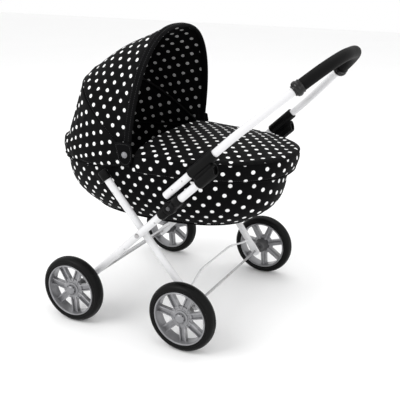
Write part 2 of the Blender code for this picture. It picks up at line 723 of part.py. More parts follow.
def apron(looks):
    """Cover over the foot end: a crowned top and a skirt outside the rim."""
    end = COT_HALF_LENGTH + APRON_OVERHANG_END
    wide = COT_HALF_WIDTH + APRON_OVERHANG_SIDE
    top = HOOP_TOP + APRON_THICKNESS + 0.0020
    hem = HOOP_TOP - APRON_HEM_DROP
    levels = ((1.0, hem), (1.0, (hem + top) / 2), (0.995, top - 0.001), (0.965, top + 0.006),
              (0.85, top + 0.012), (0.62, top + 0.018), (0.34, top + APRON_CROWN))
    count = 22
    points = []
    for scale, z in levels:
        for i in range(count + 1):
            x, y = power_curve(math.pi * (i / count - 0.5), PLAN_POWER)
            reach = (end - APRON_BACK_X) * x * scale
            points.append(Vector((APRON_BACK_X + reach, wide * y * scale, z)))
    row = count + 1
    faces = []
    for j in range(len(levels) - 1):
        for i in range(count):
            a = j * row + i
            faces.append((a, a + 1, a + row + 1, a + row))
    last = (len(levels) - 1) * row
    faces.append(tuple(range(last, last + row)))
    cover = add_object("apron", mesh_from("apron", points, faces), looks["black_fabric"], 60)
    wall = cover.modifiers.new("wall", "SOLIDIFY")
    wall.thickness = APRON_THICKNESS
    wall.offset = -1.0
    wall.use_even_offset = True


# ---------------------------------------------------------------- hood
def arch_point(angle, across, half_width, height):
    """A point of an arch that stands on the hinge line at an angle above +X."""
    y, up = power_curve(across, HOOD_POWER)
    spin = math.radians(angle)
    return Vector((HOOD_X + height * up * math.cos(spin), half_width * y,
                   HOOD_Z + height * up * math.sin(spin)))


def hood_panel(name, start, end, height_start, height_end, half_width, look):
    steps = 4
    count = 18
    foot = math.radians(1.4)
    points = []
    for i in range(steps + 1):
        share = i / steps
        angle = start + (end - start) * share
        height = height_start + (height_end - height_start) * share
        for k in range(count + 1):
            across = foot + (math.pi - 2 * foot) * k / count
            points.append(arch_point(angle, across, half_width, height))
    row = count + 1
    faces = [(i * row + k, i * row + k + 1, (i + 1) * row + k + 1, (i + 1) * row + k)
             for i in range(steps) for k in range(count)]
    mesh = mesh_from(name, points, faces)
    panel = add_object(name, mesh, look, 60)
    middle = mesh.polygons[(steps // 2) * count + count // 2]
    facing_out = middle.normal.dot(middle.center - Vector((HOOD_X, 0, HOOD_Z))) > 0
    wall = panel.modifiers.new("wall", "SOLIDIFY")
    wall.thickness = HOOD_WALL
    wall.offset = -1.0 if facing_out else 1.0
    wall.use_even_offset = True


def bow(name, angle, half_width, height, looks):
    """A wire arch with a flat eye on each foot, round the hinge rivet."""
    count = 16
    foot = math.radians(0.3)
    path = [arch_point(angle, foot + (math.pi - 2 * foot) * k / count, half_width, height)
            for k in range(count + 1)]
    made = add_object(name, swept(name, path, BOW_DIAMETER / 2, 6), looks["black_plastic"])
    for side, _ in SIDES:
        centre = Vector((HOOD_X, side * half_width, HOOD_Z))
        half = BOW_DIAMETER / 2 * 0.7
        eye = [(0.0, -half), (0.0054, -half), (0.0054, half), (0.0, half)]
        combine(made, turned_solid("eye", eye, centre, 12), "UNION")
        reach = Vector((0, 0.006, 0))
        combine(made, rod("hole", centre - reach, centre + reach,
                          RIVET_DIAMETER / 2 + SLIDE_FIT, 8), "DIFFERENCE")


def hood(looks):
    layer = HOOD_LAYER
    room = 0.0004
    middle_half = HOOD_HALF_WIDTH - HOOD_WALL - BOW_DIAMETER - 2 * room
    back_half = middle_half - layer
    hood_panel("hood_back_panel", HOOD_REAR_ANGLE - 2.0, HOOD_END_ANGLE,
               HOOD_BACK_HEIGHT, HOOD_BACK_HEIGHT, back_half, looks["black_fabric"])
    middle_height = HOOD_BACK_HEIGHT + layer
    hood_panel("hood_middle_panel", HOOD_MIDDLE_ANGLE - 2.0, HOOD_REAR_ANGLE,
               middle_height, middle_height, middle_half, looks["black_fabric"])
    front_end = middle_height + layer
    hood_panel("hood_front_panel", HOOD_FRONT_ANGLE, HOOD_MIDDLE_ANGLE,
               HOOD_HEIGHT, front_end, HOOD_HALF_WIDTH, looks["black_fabric"])
    inset = HOOD_WALL + BOW_DIAMETER / 2 + 0.0010
    bow("hood_rear_bow", HOOD_REAR_ANGLE, back_half - inset, HOOD_BACK_HEIGHT - inset, looks)
    front_inset = HOOD_WALL + room + BOW_DIAMETER / 2
    bow("hood_front_bow", HOOD_FRONT_ANGLE - 1.8, HOOD_HALF_WIDTH - front_inset,
        HOOD_HEIGHT - front_inset, looks)

    rear_eye = back_half - inset - BOW_DIAMETER / 2
    plate_in = HOOD_HALF_WIDTH + 0.0010
    plate_out = plate_in + 0.0014
    for side, name in SIDES:
        hinge = Vector((HOOD_X, 0, HOOD_Z))
        middle = Vector((HOOD_X, side * (plate_in + plate_out) / 2, HOOD_Z - 0.0080))
        plate = add_object(f"hood_bracket_{name}",
                           block("plate", middle, (0.0150, plate_out - plate_in, 0.0300)),
                           looks["black_plastic"])
        foot_y = (COT_HALF_WIDTH + GAP + plate_out) / 2
        foot = Vector((HOOD_X, side * foot_y, HOOD_Z - 0.0180))
        combine(plate, block("foot", foot, (0.0130, plate_out - COT_HALF_WIDTH - GAP, 0.0090)),
                "UNION")
        shank = RIVET_DIAMETER / 2
        reach = Vector((0, side * 0.01, 0))
        seat = Vector((HOOD_X, side * plate_in, HOOD_Z))
        combine(plate, rod("hole", seat - reach, seat + reach, shank + SLIDE_FIT, 8),
                "DIFFERENCE")
        pin = [(0.0, rear_eye - 0.0022), (0.0036, rear_eye - 0.0018), (0.0036, rear_eye - 0.0006),
               (shank, rear_eye - 0.0006), (shank, plate_out + GAP),
               (0.0042, plate_out + GAP), (0.0038, plate_out + 0.0012),
               (0.0, plate_out + 0.0016)]
        add_object(f"hood_rivet_{name}",
                   turned_solid("rivet", [(r, side * y) for r, y in pin], hinge, 10),
                   looks["steel"], 40)


def cot_supports(looks):
    """Moulded arms between the cot's walls and the knuckles."""
    for side, name in SIDES:
        outer = KNUCKLE_Y - KNUCKLE_WIDTH / 2 - 0.0016 - GAP
        inner = COT_HALF_WIDTH + GAP
        arm = [(0.0, inner), (0.0130, inner), (0.0130, inner + 0.0030),
               (0.0085, inner + 0.0050), (0.0085, outer), (0.0, outer)]
        add_object(f"cot_support_{name}",
                   turned_solid("arm", [(r, side * y) for r, y in arm], KNUCKLE, 14),
                   looks["black_plastic"], 40)


# ---------------------------------------------------------------- joints and origin
def middle_of_box():
    """Half way along X between the lowest and the highest point of the part."""
    bpy.context.view_layer.update()
    graph = bpy.context.evaluated_depsgraph_get()
    reach = [vertex.co.x for item in bpy.data.objects if item.type == "MESH"
             for vertex in item.evaluated_get(graph).data.vertices]
    return (min(reach) + max(reach)) / 2


def pivot(name, point, members, parent=None):
    """An empty on a joint's axis that carries the pieces that turn about it."""
    axis = bpy.data.objects.new(name, None)
    bpy.context.scene.collection.objects.link(axis)
    axis.location = point - (parent.matrix_world.translation if parent else Vector())
    axis.parent = parent
    bpy.context.view_layer.update()
    for member in members:
        item = bpy.data.objects[member]
        item.parent = axis
        item.location = -point
    return axis


def joints(shift):
    def both(*names):
        return [f"{name}_{side}" for name in names for _, side in SIDES]

    def wheels(end, parent=None):
        for side, side_name in SIDES:
            tag = f"{'front' if end < 0 else 'rear'}_{side_name}"
            centre = Vector((end * AXLE_X, side * WHEEL_Y, AXLE_Z)) + shift
            pivot(f"wheel_axis_{tag}", centre,
                  [f"tyre_{tag}", f"wheel_disc_{tag}", f"hub_cap_{tag}"], parent)

    wheels(-1)
    fold = pivot("frame_fold_axis", CROSSING + shift,
                 both("cross_tube", "cross_tube_cap") + ["rear_axle", "rear_brace_wire"])
    wheels(1, fold)
    lever = pivot("handle_fold_axis", KNUCKLE + shift,
                  both("knuckle_lever", "upper_tube", "handle_clamp"))
    pivot("handle_slide_axis", on_upper(0, CLAMP_START, HANDLE_RISE) + shift,
          ["handle_tube", "foam_grip"] + both("grip_collar"), lever)
    hinge = Vector((HOOD_X, 0, HOOD_Z)) + shift
    rear = pivot("hood_fold_axis", hinge, ["hood_rear_bow", "hood_middle_panel"])
    pivot("hood_front_fold_axis", hinge, ["hood_front_bow", "hood_front_panel"], rear)


def build():
    clear_scene()
    looks = finishes()
    for end, end_name in ENDS:
        for side, side_name in SIDES:
            wheel(side, end, side_name, end_name, looks)
    axles(looks)
    brace_wires(looks)
    for side, name in SIDES:
        side_tubes(side, name, looks)
        cross_tube_ends(side, name, looks)
        knuckle(side, name, looks)
        upper_tube(side, name, looks)
        clamp(side, name, looks)
    handle(looks)
    carrycot(looks)
    cot_supports(looks)
    apron(looks)
    hood(looks)
    shift = Vector((-middle_of_box(), 0, 0))
    for item in bpy.data.objects:
        item.data.transform(Matrix.Translation(shift))
    joints(shift)


build()
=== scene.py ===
# %% [markdown]
# # A doll pram
# This lesson dresses a doll pram: a deep dotted carrycot with a folding hood and a foot apron, on a
# crossed tube frame with four spoked wheels and a handle that slides and folds.

# %% Load the frame
import json
import math

import bmesh
import bpy
import numpy as np
from mathutils import Matrix, Vector


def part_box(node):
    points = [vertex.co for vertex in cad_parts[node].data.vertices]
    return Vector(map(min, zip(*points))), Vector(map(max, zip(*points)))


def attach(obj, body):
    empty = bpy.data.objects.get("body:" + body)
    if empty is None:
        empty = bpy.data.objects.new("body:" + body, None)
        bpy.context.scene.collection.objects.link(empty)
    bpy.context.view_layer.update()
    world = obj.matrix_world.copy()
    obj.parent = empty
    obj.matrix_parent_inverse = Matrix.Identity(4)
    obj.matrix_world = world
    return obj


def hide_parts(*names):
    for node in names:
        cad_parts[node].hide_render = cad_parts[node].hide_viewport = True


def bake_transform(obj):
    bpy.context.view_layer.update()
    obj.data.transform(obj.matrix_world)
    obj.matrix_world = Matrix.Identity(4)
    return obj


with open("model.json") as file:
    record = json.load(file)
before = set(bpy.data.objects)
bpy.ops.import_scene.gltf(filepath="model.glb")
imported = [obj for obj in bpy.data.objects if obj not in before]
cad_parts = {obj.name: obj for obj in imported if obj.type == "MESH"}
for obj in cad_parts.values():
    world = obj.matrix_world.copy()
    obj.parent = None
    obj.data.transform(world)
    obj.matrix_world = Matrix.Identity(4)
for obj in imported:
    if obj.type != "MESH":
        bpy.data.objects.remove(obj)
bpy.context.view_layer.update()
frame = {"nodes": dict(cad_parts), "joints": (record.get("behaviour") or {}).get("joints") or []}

NODES = frame["nodes"]
SIDES = ((-1, "left"), (1, "right"))

# %% [markdown]
# ## Small helpers
# Most materials and node trees here are a few nodes long. `place` adds one node and fills its
# sockets with numbers or with links, so each recipe below reads from top to bottom. `circle` and
# `signed_power` give the outlines of round and softly squared sections.


# %% Helpers for nodes, objects and outlines
def place(tree, kind, inputs=None, **settings):
    node = tree.nodes.new(kind)
    for key, value in settings.items():
        setattr(node, key, value)
    for key, value in (inputs or {}).items():
        if isinstance(value, bpy.types.NodeSocket):
            tree.links.new(value, node.inputs[key])
        else:
            node.inputs[key].default_value = value
    return node


def add_object(name, data):
    made = bpy.data.objects.new(name, data)
    bpy.context.scene.collection.objects.link(made)
    return made


def circle(count):
    """Cosine and sine of each of a full turn's equal steps."""
    return [(math.cos(2 * math.pi * k / count), math.sin(2 * math.pi * k / count))
            for k in range(count)]


def signed_power(value, power):
    return math.copysign(abs(value) ** power, value)


def math_node(tree, operation, a, b=0.0, c=0.0):
    return place(tree, "ShaderNodeMath", {0: a, 1: b, 2: c}, operation=operation).outputs[0]


def new_group(name, kind, ins, outs):
    """A node group with named sockets. Each entry is (name, socket type, default)."""
    tree = bpy.data.node_groups.new(name, kind)
    for label, sort, value in ins:
        socket = tree.interface.new_socket(label, in_out="INPUT", socket_type=sort)
        if value is not None:
            socket.default_value = value
    for label, sort in outs:
        tree.interface.new_socket(label, in_out="OUTPUT", socket_type=sort)
    return tree, tree.nodes.new("NodeGroupInput"), tree.nodes.new("NodeGroupOutput")


print("small helpers ready")

# %% [markdown]
# ## Shared effects
# Five effects come back in several finishes, so each is a shader group that is built once: the
# printed dots, the weave of the cloth, a fine grain, wear on edges and dust on faces that look up.
# A group gives out only masks, heights and tones. The shader itself stays in each material.

# %% The printed dots
FLOAT = "NodeSocketFloat"
VECTOR = "NodeSocketVector"
DOTS, inside, outside = new_group(
    "Printed dots", "ShaderNodeTree",
    [("Cloth", VECTOR, None), ("Pitch", FLOAT, 0.0262), ("Row", FLOAT, 0.0158),
     ("Radius", FLOAT, 0.0037)],
    [("Mask", FLOAT)])
apart = place(DOTS, "ShaderNodeSeparateXYZ", {0: inside.outputs["Cloth"]})
row = math_node(DOTS, "DIVIDE", apart.outputs["Y"], inside.outputs["Row"])
row_number = math_node(DOTS, "ROUND", row)
odd = math_node(DOTS, "FLOORED_MODULO", row_number, 2.0)
column = math_node(DOTS, "DIVIDE", apart.outputs["X"], inside.outputs["Pitch"])
column = math_node(DOTS, "SUBTRACT", column, math_node(DOTS, "MULTIPLY", odd, 0.5))
across = math_node(DOTS, "SUBTRACT", column, math_node(DOTS, "ROUND", column))
across = math_node(DOTS, "MULTIPLY", across, inside.outputs["Pitch"])
along = math_node(DOTS, "SUBTRACT", row, row_number)
along = math_node(DOTS, "MULTIPLY", along, inside.outputs["Row"])
away = math_node(DOTS, "SQRT", math_node(DOTS, "ADD", math_node(DOTS, "MULTIPLY", across, across),
                                         math_node(DOTS, "MULTIPLY", along, along)))
near = math_node(DOTS, "SUBTRACT", inside.outputs["Radius"], 0.00025)
far = math_node(DOTS, "ADD", inside.outputs["Radius"], 0.00025)
edge = place(DOTS, "ShaderNodeMapRange", {0: away, 1: near, 2: far, 3: 1.0, 4: 0.0},
             interpolation_type="SMOOTHSTEP")
DOTS.links.new(edge.outputs[0], outside.inputs["Mask"])
print("dot print: rows 15.8 mm apart, dots 7.4 mm across")

# %% The weave of the cloth
WEAVE, inside, outside = new_group(
    "Plain weave", "ShaderNodeTree",
    [("Cloth", VECTOR, None), ("Thread", FLOAT, 0.0009)],
    [("Height", FLOAT), ("Tone", FLOAT)])
apart = place(WEAVE, "ShaderNodeSeparateXYZ", {0: inside.outputs["Cloth"]})
turns = math_node(WEAVE, "DIVIDE", math.pi, inside.outputs["Thread"])
warp = math_node(WEAVE, "SINE", math_node(WEAVE, "MULTIPLY", apart.outputs["X"], turns))
weft = math_node(WEAVE, "SINE", math_node(WEAVE, "MULTIPLY", apart.outputs["Y"], turns))
over = math_node(WEAVE, "MULTIPLY", warp, weft)
slub = place(WEAVE, "ShaderNodeTexNoise", {"Vector": inside.outputs["Cloth"], "Scale": 240.0,
                                          "Detail": 3.0})
height = math_node(WEAVE, "MULTIPLY_ADD", over, 0.35, slub.outputs["Fac"])
WEAVE.links.new(height, outside.inputs["Height"])
WEAVE.links.new(slub.outputs["Fac"], outside.inputs["Tone"])
print("weave: one thread every 0.9 mm")

# %% Fine grain, edge wear and dust
GRAIN, inside, outside = new_group(
    "Fine grain", "ShaderNodeTree", [("Scale", FLOAT, 400.0), ("Blotch", FLOAT, 12.0)],
    [("Height", FLOAT), ("Tone", FLOAT)])
where = place(GRAIN, "ShaderNodeTexCoord").outputs["Object"]
fine = place(GRAIN, "ShaderNodeTexNoise",
             {"Vector": where, "Scale": inside.outputs["Scale"], "Detail": 4.0})
broad = place(GRAIN, "ShaderNodeTexNoise",
              {"Vector": where, "Scale": inside.outputs["Blotch"], "Detail": 5.0})
GRAIN.links.new(fine.outputs["Fac"], outside.inputs["Height"])
GRAIN.links.new(broad.outputs["Fac"], outside.inputs["Tone"])

WEAR, inside, outside = new_group(
    "Edge wear", "ShaderNodeTree", [("Amount", FLOAT, 0.5), ("Scale", FLOAT, 90.0)],
    [("Mask", FLOAT)])
shape = place(WEAR, "ShaderNodeNewGeometry").outputs["Pointiness"]
where = place(WEAR, "ShaderNodeTexCoord").outputs["Object"]
chips = place(WEAR, "ShaderNodeTexNoise",
              {"Vector": where, "Scale": inside.outputs["Scale"], "Detail": 6.0})
worn = place(WEAR, "ShaderNodeMapRange", {0: shape, 1: 0.53, 2: 0.62, 3: 0.0, 4: 1.0})
broken = place(WEAR, "ShaderNodeMapRange", {0: chips.outputs["Fac"], 1: 0.45, 2: 0.65,
                                            3: 0.0, 4: 1.0})
both = math_node(WEAR, "MULTIPLY", worn.outputs[0], broken.outputs[0])
WEAR.links.new(math_node(WEAR, "MULTIPLY", both, inside.outputs["Amount"]),
               outside.inputs["Mask"])

DUST, inside, outside = new_group(
    "Dust", "ShaderNodeTree", [("Amount", FLOAT, 0.2), ("Scale", FLOAT, 60.0)],
    [("Mask", FLOAT)])
facing = place(DUST, "ShaderNodeSeparateXYZ",
               {0: place(DUST, "ShaderNodeNewGeometry").outputs["Normal"]}).outputs["Z"]
where = place(DUST, "ShaderNodeTexCoord").outputs["Object"]
specks = place(DUST, "ShaderNodeTexNoise",
               {"Vector": where, "Scale": inside.outputs["Scale"], "Detail": 8.0})
upward = place(DUST, "ShaderNodeMapRange", {0: facing, 1: 0.1, 2: 1.0, 3: 0.0, 4: 1.0})
thick = place(DUST, "ShaderNodeMapRange", {0: specks.outputs["Fac"], 1: 0.4, 2: 0.8,
                                           3: 0.0, 4: 1.0})
both = math_node(DUST, "MULTIPLY", upward.outputs[0], thick.outputs[0])
DUST.links.new(math_node(DUST, "MULTIPLY", both, inside.outputs["Amount"]),
               outside.inputs["Mask"])
print("groups:", [g.name for g in bpy.data.node_groups])

# %% [markdown]
# ## Finishes
# The cloth is a thin black polyester with white dots printed on it. Its dots and threads follow the
# cloth's own flat cut, so they read the piece's UV map, which is laid out in metres. Hard pieces
# read object coordinates, because their grain doesn't follow a seam. Numbers that are the same all
# over a surface go straight onto the shader.


# %% Helpers for finishes
def surface(name, **constants):
    """A new material with its shader, and constant numbers on the shader's own sockets."""
    look = bpy.data.materials.new(name)
    look.use_nodes = True
    tree = look.node_tree
    shader = tree.nodes["Principled BSDF"]
    for key, value in constants.items():
        shader.inputs[key.replace("_", " ")].default_value = value
    return look, tree, shader


def shared(tree, group, **inputs):
    return place(tree, "ShaderNodeGroup", inputs, node_tree=group)


def mix(tree, share, a, b):
    return place(tree, "ShaderNodeMix", {0: share, 6: a, 7: b}, data_type="RGBA").outputs[2]


def bump(tree, shader, height, distance, strength=1.0):
    node = place(tree, "ShaderNodeBump", {"Height": height, "Distance": distance,
                                          "Strength": strength})
    tree.links.new(node.outputs[0], shader.inputs["Normal"])


def ramp(tree, value, low, high):
    """Turn a value from 0 to 1 into one from low to high."""
    return place(tree, "ShaderNodeMapRange", {0: value, 1: 0.3, 2: 0.7, 3: low, 4: high}).outputs[0]


print("finish helpers ready")


# %% Cloth finishes
def cloth(name, ground, dot, thread, roughness, sheen):
    """Woven cloth on the UV map; dot is the colour of the printed dots, or None."""
    look, tree, shader = surface(name, Sheen_Weight=sheen, Sheen_Roughness=0.5,
                                 Specular_IOR_Level=0.05)
    flat = place(tree, "ShaderNodeTexCoord").outputs["UV"]
    weave = shared(tree, WEAVE, Cloth=flat, Thread=thread)
    lighter = tuple(c * 1.8 + 0.0015 for c in ground[:3]) + (1.0,)
    colour = mix(tree, weave.outputs["Tone"], ground, lighter)
    if dot:
        dots = shared(tree, DOTS, Cloth=flat)
        colour = mix(tree, dots.outputs["Mask"], colour, dot)
    dust = shared(tree, DUST, Amount=0.012, Scale=140.0)
    colour = mix(tree, dust.outputs["Mask"], colour, (0.35, 0.34, 0.33, 1.0))
    tree.links.new(colour, shader.inputs["Base Color"])
    rough = ramp(tree, weave.outputs["Tone"], roughness - 0.06, roughness + 0.06)
    tree.links.new(rough, shader.inputs["Roughness"])
    bump(tree, shader, weave.outputs["Height"], 0.00018, 0.8)
    return look


DOTTED = cloth("dotted cloth", (0.0010, 0.0010, 0.0012, 1), (0.86, 0.86, 0.86, 1), 0.0009, 0.75,
               0.008)
# The inner face: its dots are dimmed to grey, partly because the print shows through from the back
# and partly as painted shade on the inner faces.
DOTTED_BACK_PAINTED_SHADE = cloth("dotted cloth inside with painted shade", (0.0012, 0.0012, 0.0014, 1), (0.42, 0.42, 0.42, 1),
                    0.0009, 0.85, 0.0)
TAPE = cloth("binding tape", (0.0010, 0.0010, 0.0012, 1), None, 0.0016, 0.75, 0.0)
THREAD, tree, shader = surface("sewing thread", Roughness=0.6)
grain = shared(tree, GRAIN, Scale=1800.0)
tree.links.new(mix(tree, grain.outputs["Tone"], (0.008, 0.008, 0.009, 1), (0.03, 0.03, 0.033, 1)),
               shader.inputs["Base Color"])
bump(tree, shader, grain.outputs["Height"], 0.0001)
print("cloths:", DOTTED.name, DOTTED_BACK_PAINTED_SHADE.name, TAPE.name)


# %% Hard finishes
def hard(name, dark, light, roughness, grain_scale, depth, wear=0.0, worn=(0.1, 0.1, 0.1, 1),
         dust=0.1, **constants):
    """Moulded, foamed or coated material: two tones, grain, wear on edges and some dust."""
    look, tree, shader = surface(name, **constants)
    grain = shared(tree, GRAIN, Scale=grain_scale)
    colour = mix(tree, grain.outputs["Tone"], dark, light)
    if wear:
        rubbed = shared(tree, WEAR, Amount=wear)
        colour = mix(tree, rubbed.outputs["Mask"], colour, worn)
    specks = shared(tree, DUST, Amount=dust)
    colour = mix(tree, specks.outputs["Mask"], colour, (0.42, 0.40, 0.38, 1.0))
    tree.links.new(colour, shader.inputs["Base Color"])
    tree.links.new(ramp(tree, grain.outputs["Tone"], roughness[0], roughness[1]),
                   shader.inputs["Roughness"])
    bump(tree, shader, grain.outputs["Height"], depth)
    return look


WHITE = hard("white powder coat", (0.66, 0.66, 0.675, 1), (0.72, 0.72, 0.73, 1), (0.22, 0.34),
             700.0, 0.00008, 0.35, (0.55, 0.54, 0.52, 1), 0.06, Coat_Weight=0.35,
             Coat_Roughness=0.12)
BLACK = hard("black moulded plastic", (0.0012, 0.0012, 0.0013, 1), (0.0026, 0.0026, 0.0028, 1),
             (0.34, 0.46), 1400.0, 0.00006, 0.3, (0.015, 0.015, 0.016, 1), 0.01,
             Specular_IOR_Level=0.10)
GLOSSY = hard("black gloss plastic", (0.003, 0.003, 0.003, 1), (0.006, 0.006, 0.006, 1),
              (0.14, 0.24), 900.0, 0.00002, 0.3, (0.03, 0.03, 0.03, 1), 0.01,
              Specular_IOR_Level=0.35)
FOAM = hard("handle foam", (0.0015, 0.0015, 0.0016, 1), (0.0035, 0.0035, 0.0037, 1), (0.55, 0.72),
            1100.0, 0.00022, 0.0, dust=0.006, Specular_IOR_Level=0.10)
RUBBER = hard("tyre rubber", (0.0012, 0.0012, 0.0012, 1), (0.0026, 0.0026, 0.0026, 1), (0.34, 0.5),
              800.0, 0.00010, 0.2, (0.02, 0.02, 0.02, 1), 0.01, Specular_IOR_Level=0.12)
GREY = hard("metallic grey plastic", (0.20, 0.20, 0.21, 1), (0.28, 0.28, 0.29, 1), (0.26, 0.38),
            2200.0, 0.00004, 0.5, (0.50, 0.50, 0.51, 1), 0.04, Metallic=0.55)
DARK_GREY = hard("dark grey plastic", (0.045, 0.045, 0.048, 1), (0.080, 0.080, 0.083, 1),
                 (0.35, 0.5), 2200.0, 0.00005, 0.3, (0.15, 0.15, 0.15, 1), 0.08, Metallic=0.2)
STEEL = hard("zinc plated steel", (0.36, 0.36, 0.37, 1), (0.52, 0.52, 0.53, 1), (0.24, 0.38),
             1600.0, 0.00004, 0.4, (0.25, 0.22, 0.19, 1), 0.08, Metallic=0.95)
BOARD = hard("base board", (0.05, 0.043, 0.036, 1), (0.10, 0.086, 0.07, 1), (0.7, 0.85), 500.0,
             0.0002, 0.0)
print("hard finishes ready")

# %% [markdown]
# ## Shapes by hand
# A lofted skin over rings of points is enough for tubes, barrels and caps, and a turned profile for
# everything round an axle. Both give plain points and faces, so that several can become one piece.


# %% Rings, lofts and turned profiles
def loft(rings, capped=True):
    count = len(rings[0])
    points = [Vector(p) for ring in rings for p in ring]
    faces = [(i * count + j, i * count + (j + 1) % count,
              (i + 1) * count + (j + 1) % count, (i + 1) * count + j)
             for i in range(len(rings) - 1) for j in range(count)]
    if capped:
        faces.append(tuple(range(count)))
        faces.append(tuple(range(len(points) - count, len(points))))
    return points, faces


def turned(profile, centre, side=1, segments=48):
    """A closed profile of (radius, outward place) turned about the line along Y in centre."""
    rings = []
    for i in range(segments + 1):
        a = 2 * math.pi * i / segments
        rings.append([centre + Vector((r * math.cos(a), side * y, r * math.sin(a)))
                      for r, y in profile])
    return loft(rings, capped=False)


def frames_along(path):
    """Two directions square to the path in each of its points."""
    result = []
    start = (path[1] - path[0]).normalized()
    across = start.orthogonal().normalized()
    for i, _ in enumerate(path):
        tangent = (path[min(i + 1, len(path) - 1)] - path[max(i - 1, 0)]).normalized()
        across = (across - tangent * across.dot(tangent)).normalized()
        result.append((tangent, across, tangent.cross(across)))
    return result


def tube(path, radii, sides=24):
    """A round bar along a path; radii is one radius, or one for each point."""
    if isinstance(radii, float):
        radii = [radii] * len(path)
    rings = [[p + r * (c * u + s * v) for c, s in circle(sides)]
             for p, r, (_, u, v) in zip(path, radii, frames_along(path))]
    return loft(rings)


print("shape helpers ready")


# %% One piece from several shapes
def piece(name, shapes, looks, angle=35):
    """An object from lists of points and faces; each shape may name a material by its number."""
    work = bmesh.new()
    for shape in shapes:
        points, faces = shape[0], shape[1]
        part = bmesh.new()
        corners = [part.verts.new(p) for p in points]
        for face in faces:
            made = part.faces.new([corners[i] for i in face])
            made.material_index = shape[2] if len(shape) > 2 else 0
        bmesh.ops.remove_doubles(part, verts=part.verts, dist=1e-6)
        bmesh.ops.recalc_face_normals(part, faces=part.faces)
        part_mesh = bpy.data.meshes.new("part")
        part.to_mesh(part_mesh)
        part.free()
        work.from_mesh(part_mesh)
        bpy.data.meshes.remove(part_mesh)
    mesh = bpy.data.meshes.new(name)
    work.to_mesh(mesh)
    work.free()
    for look in looks:
        mesh.materials.append(look)
    mesh.shade_smooth()
    mesh.set_sharp_from_angle(angle=math.radians(angle))
    return add_object(name, mesh)


def settle(made, body, slot, *stands_for):
    """Tie a finished piece to its body and hide the parts that it stands for. slot is not used."""
    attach(made, body)
    if stands_for:
        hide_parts(*stands_for)
    return made


print("piece helper ready")

# %% [markdown]
# ## Shapes by rule
# What repeats is made by geometry nodes: spokes and vent holes round an axle, stitches along a seam,
# cords and wires along a path, and screw heads on points. Each tree has named sizes, and ends in
# Realize Instances and Set Material. `grow` sets the inputs by their identifiers, turns the result
# into a plain mesh and takes the modifier off again.


# %% Growing a tree into a plain mesh
def tree_with(name, *ins):
    tree, inside, outside = new_group(name, "GeometryNodeTree",
                                      [("Geometry", "NodeSocketGeometry", None), *ins,
                                       ("Look", "NodeSocketMaterial", None)],
                                      [("Geometry", "NodeSocketGeometry")])
    return tree, inside.outputs, outside.inputs["Geometry"]


def coat(tree, geometry, ins, out):
    """End a tree: set its material and lead the result out."""
    coated = place(tree, "GeometryNodeSetMaterial", {0: geometry, "Material": ins["Look"]})
    tree.links.new(coated.outputs[0], out)


def realize(tree, geometry):
    return place(tree, "GeometryNodeRealizeInstances", {0: geometry}).outputs[0]


def grow(made, tree, look, angle=35, **inputs):
    change = made.modifiers.new("grow", "NODES")
    change.node_group = tree
    names = {s.name: s.identifier for s in tree.interface.items_tree
             if s.item_type == "SOCKET" and s.in_out == "INPUT"}
    change[names["Look"]] = look
    for key, value in inputs.items():
        change[names[key]] = value
    bpy.context.view_layer.update()
    seen = made.evaluated_get(bpy.context.evaluated_depsgraph_get())
    mesh = bpy.data.meshes.new_from_object(seen)
    made.modifiers.clear()
    made.data = mesh
    if look.name not in [m.name for m in mesh.materials if m]:
        mesh.materials.append(look)
    mesh.shade_smooth()
    mesh.set_sharp_from_angle(angle=math.radians(angle))
    return made


def path_object(name, points, closed=False):
    mesh = bpy.data.meshes.new(name)
    count = len(points)
    edges = [(i, (i + 1) % count) for i in range(count if closed else count - 1)]
    mesh.from_pydata([tuple(p) for p in points], edges, [])
    return add_object(name, mesh)


print("growing helper ready")

# %% The trees: round an axle, along a path, stitches, screws
ROUND, ins, out = tree_with("Copies round an axle", ("Count", "NodeSocketInt", 7),
                            ("Start", FLOAT, 0.0), ("Centre", "NodeSocketVector", None))
spots = place(ROUND, "GeometryNodePoints", {"Count": ins["Count"]})
step = math_node(ROUND, "DIVIDE", 2 * math.pi, ins["Count"])
turn = math_node(ROUND, "MULTIPLY_ADD", place(ROUND, "GeometryNodeInputIndex").outputs[0],
                 step, ins["Start"])
copies = place(ROUND, "GeometryNodeInstanceOnPoints",
               {"Points": spots.outputs[0], "Instance": ins["Geometry"],
                "Rotation": place(ROUND, "ShaderNodeCombineXYZ", {"Y": turn}).outputs[0]})
moved = place(ROUND, "GeometryNodeTransform",
              {"Geometry": realize(ROUND, copies.outputs[0]), "Translation": ins["Centre"]})
coat(ROUND, moved.outputs[0], ins, out)

CORD, ins, out = tree_with("Cord along a path", ("Radius", FLOAT, 0.001),
                           ("Sides", "NodeSocketInt", 12))
line = place(CORD, "GeometryNodeMeshToCurve", {0: ins["Geometry"]})
ring = place(CORD, "GeometryNodeCurvePrimitiveCircle",
             {"Resolution": ins["Sides"], "Radius": ins["Radius"]})
skin = place(CORD, "GeometryNodeCurveToMesh", {"Curve": line.outputs[0],
                                              "Profile Curve": ring.outputs[0],
                                              "Fill Caps": True})
coat(CORD, realize(CORD, skin.outputs[0]), ins, out)

STITCH, ins, out = tree_with("Stitches along a seam", ("Pitch", FLOAT, 0.0042),
                             ("Length", FLOAT, 0.0028), ("Thickness", FLOAT, 0.0007))
line = place(STITCH, "GeometryNodeMeshToCurve", {0: ins["Geometry"]})
marks = place(STITCH, "GeometryNodeCurveToPoints", {"Curve": line.outputs[0],
                                                   "Length": ins["Pitch"]}, mode="LENGTH")
bead = place(STITCH, "GeometryNodeMeshUVSphere", {"Segments": 5, "Rings": 3, "Radius": 0.5})
size = place(STITCH, "ShaderNodeCombineXYZ", {0: ins["Thickness"], 1: ins["Thickness"],
                                              2: ins["Length"]})
sewn = place(STITCH, "GeometryNodeInstanceOnPoints",
             {"Points": marks.outputs["Points"], "Instance": bead.outputs[0],
              "Rotation": marks.outputs["Rotation"], "Scale": size.outputs[0]})
coat(STITCH, realize(STITCH, sewn.outputs[0]), ins, out)

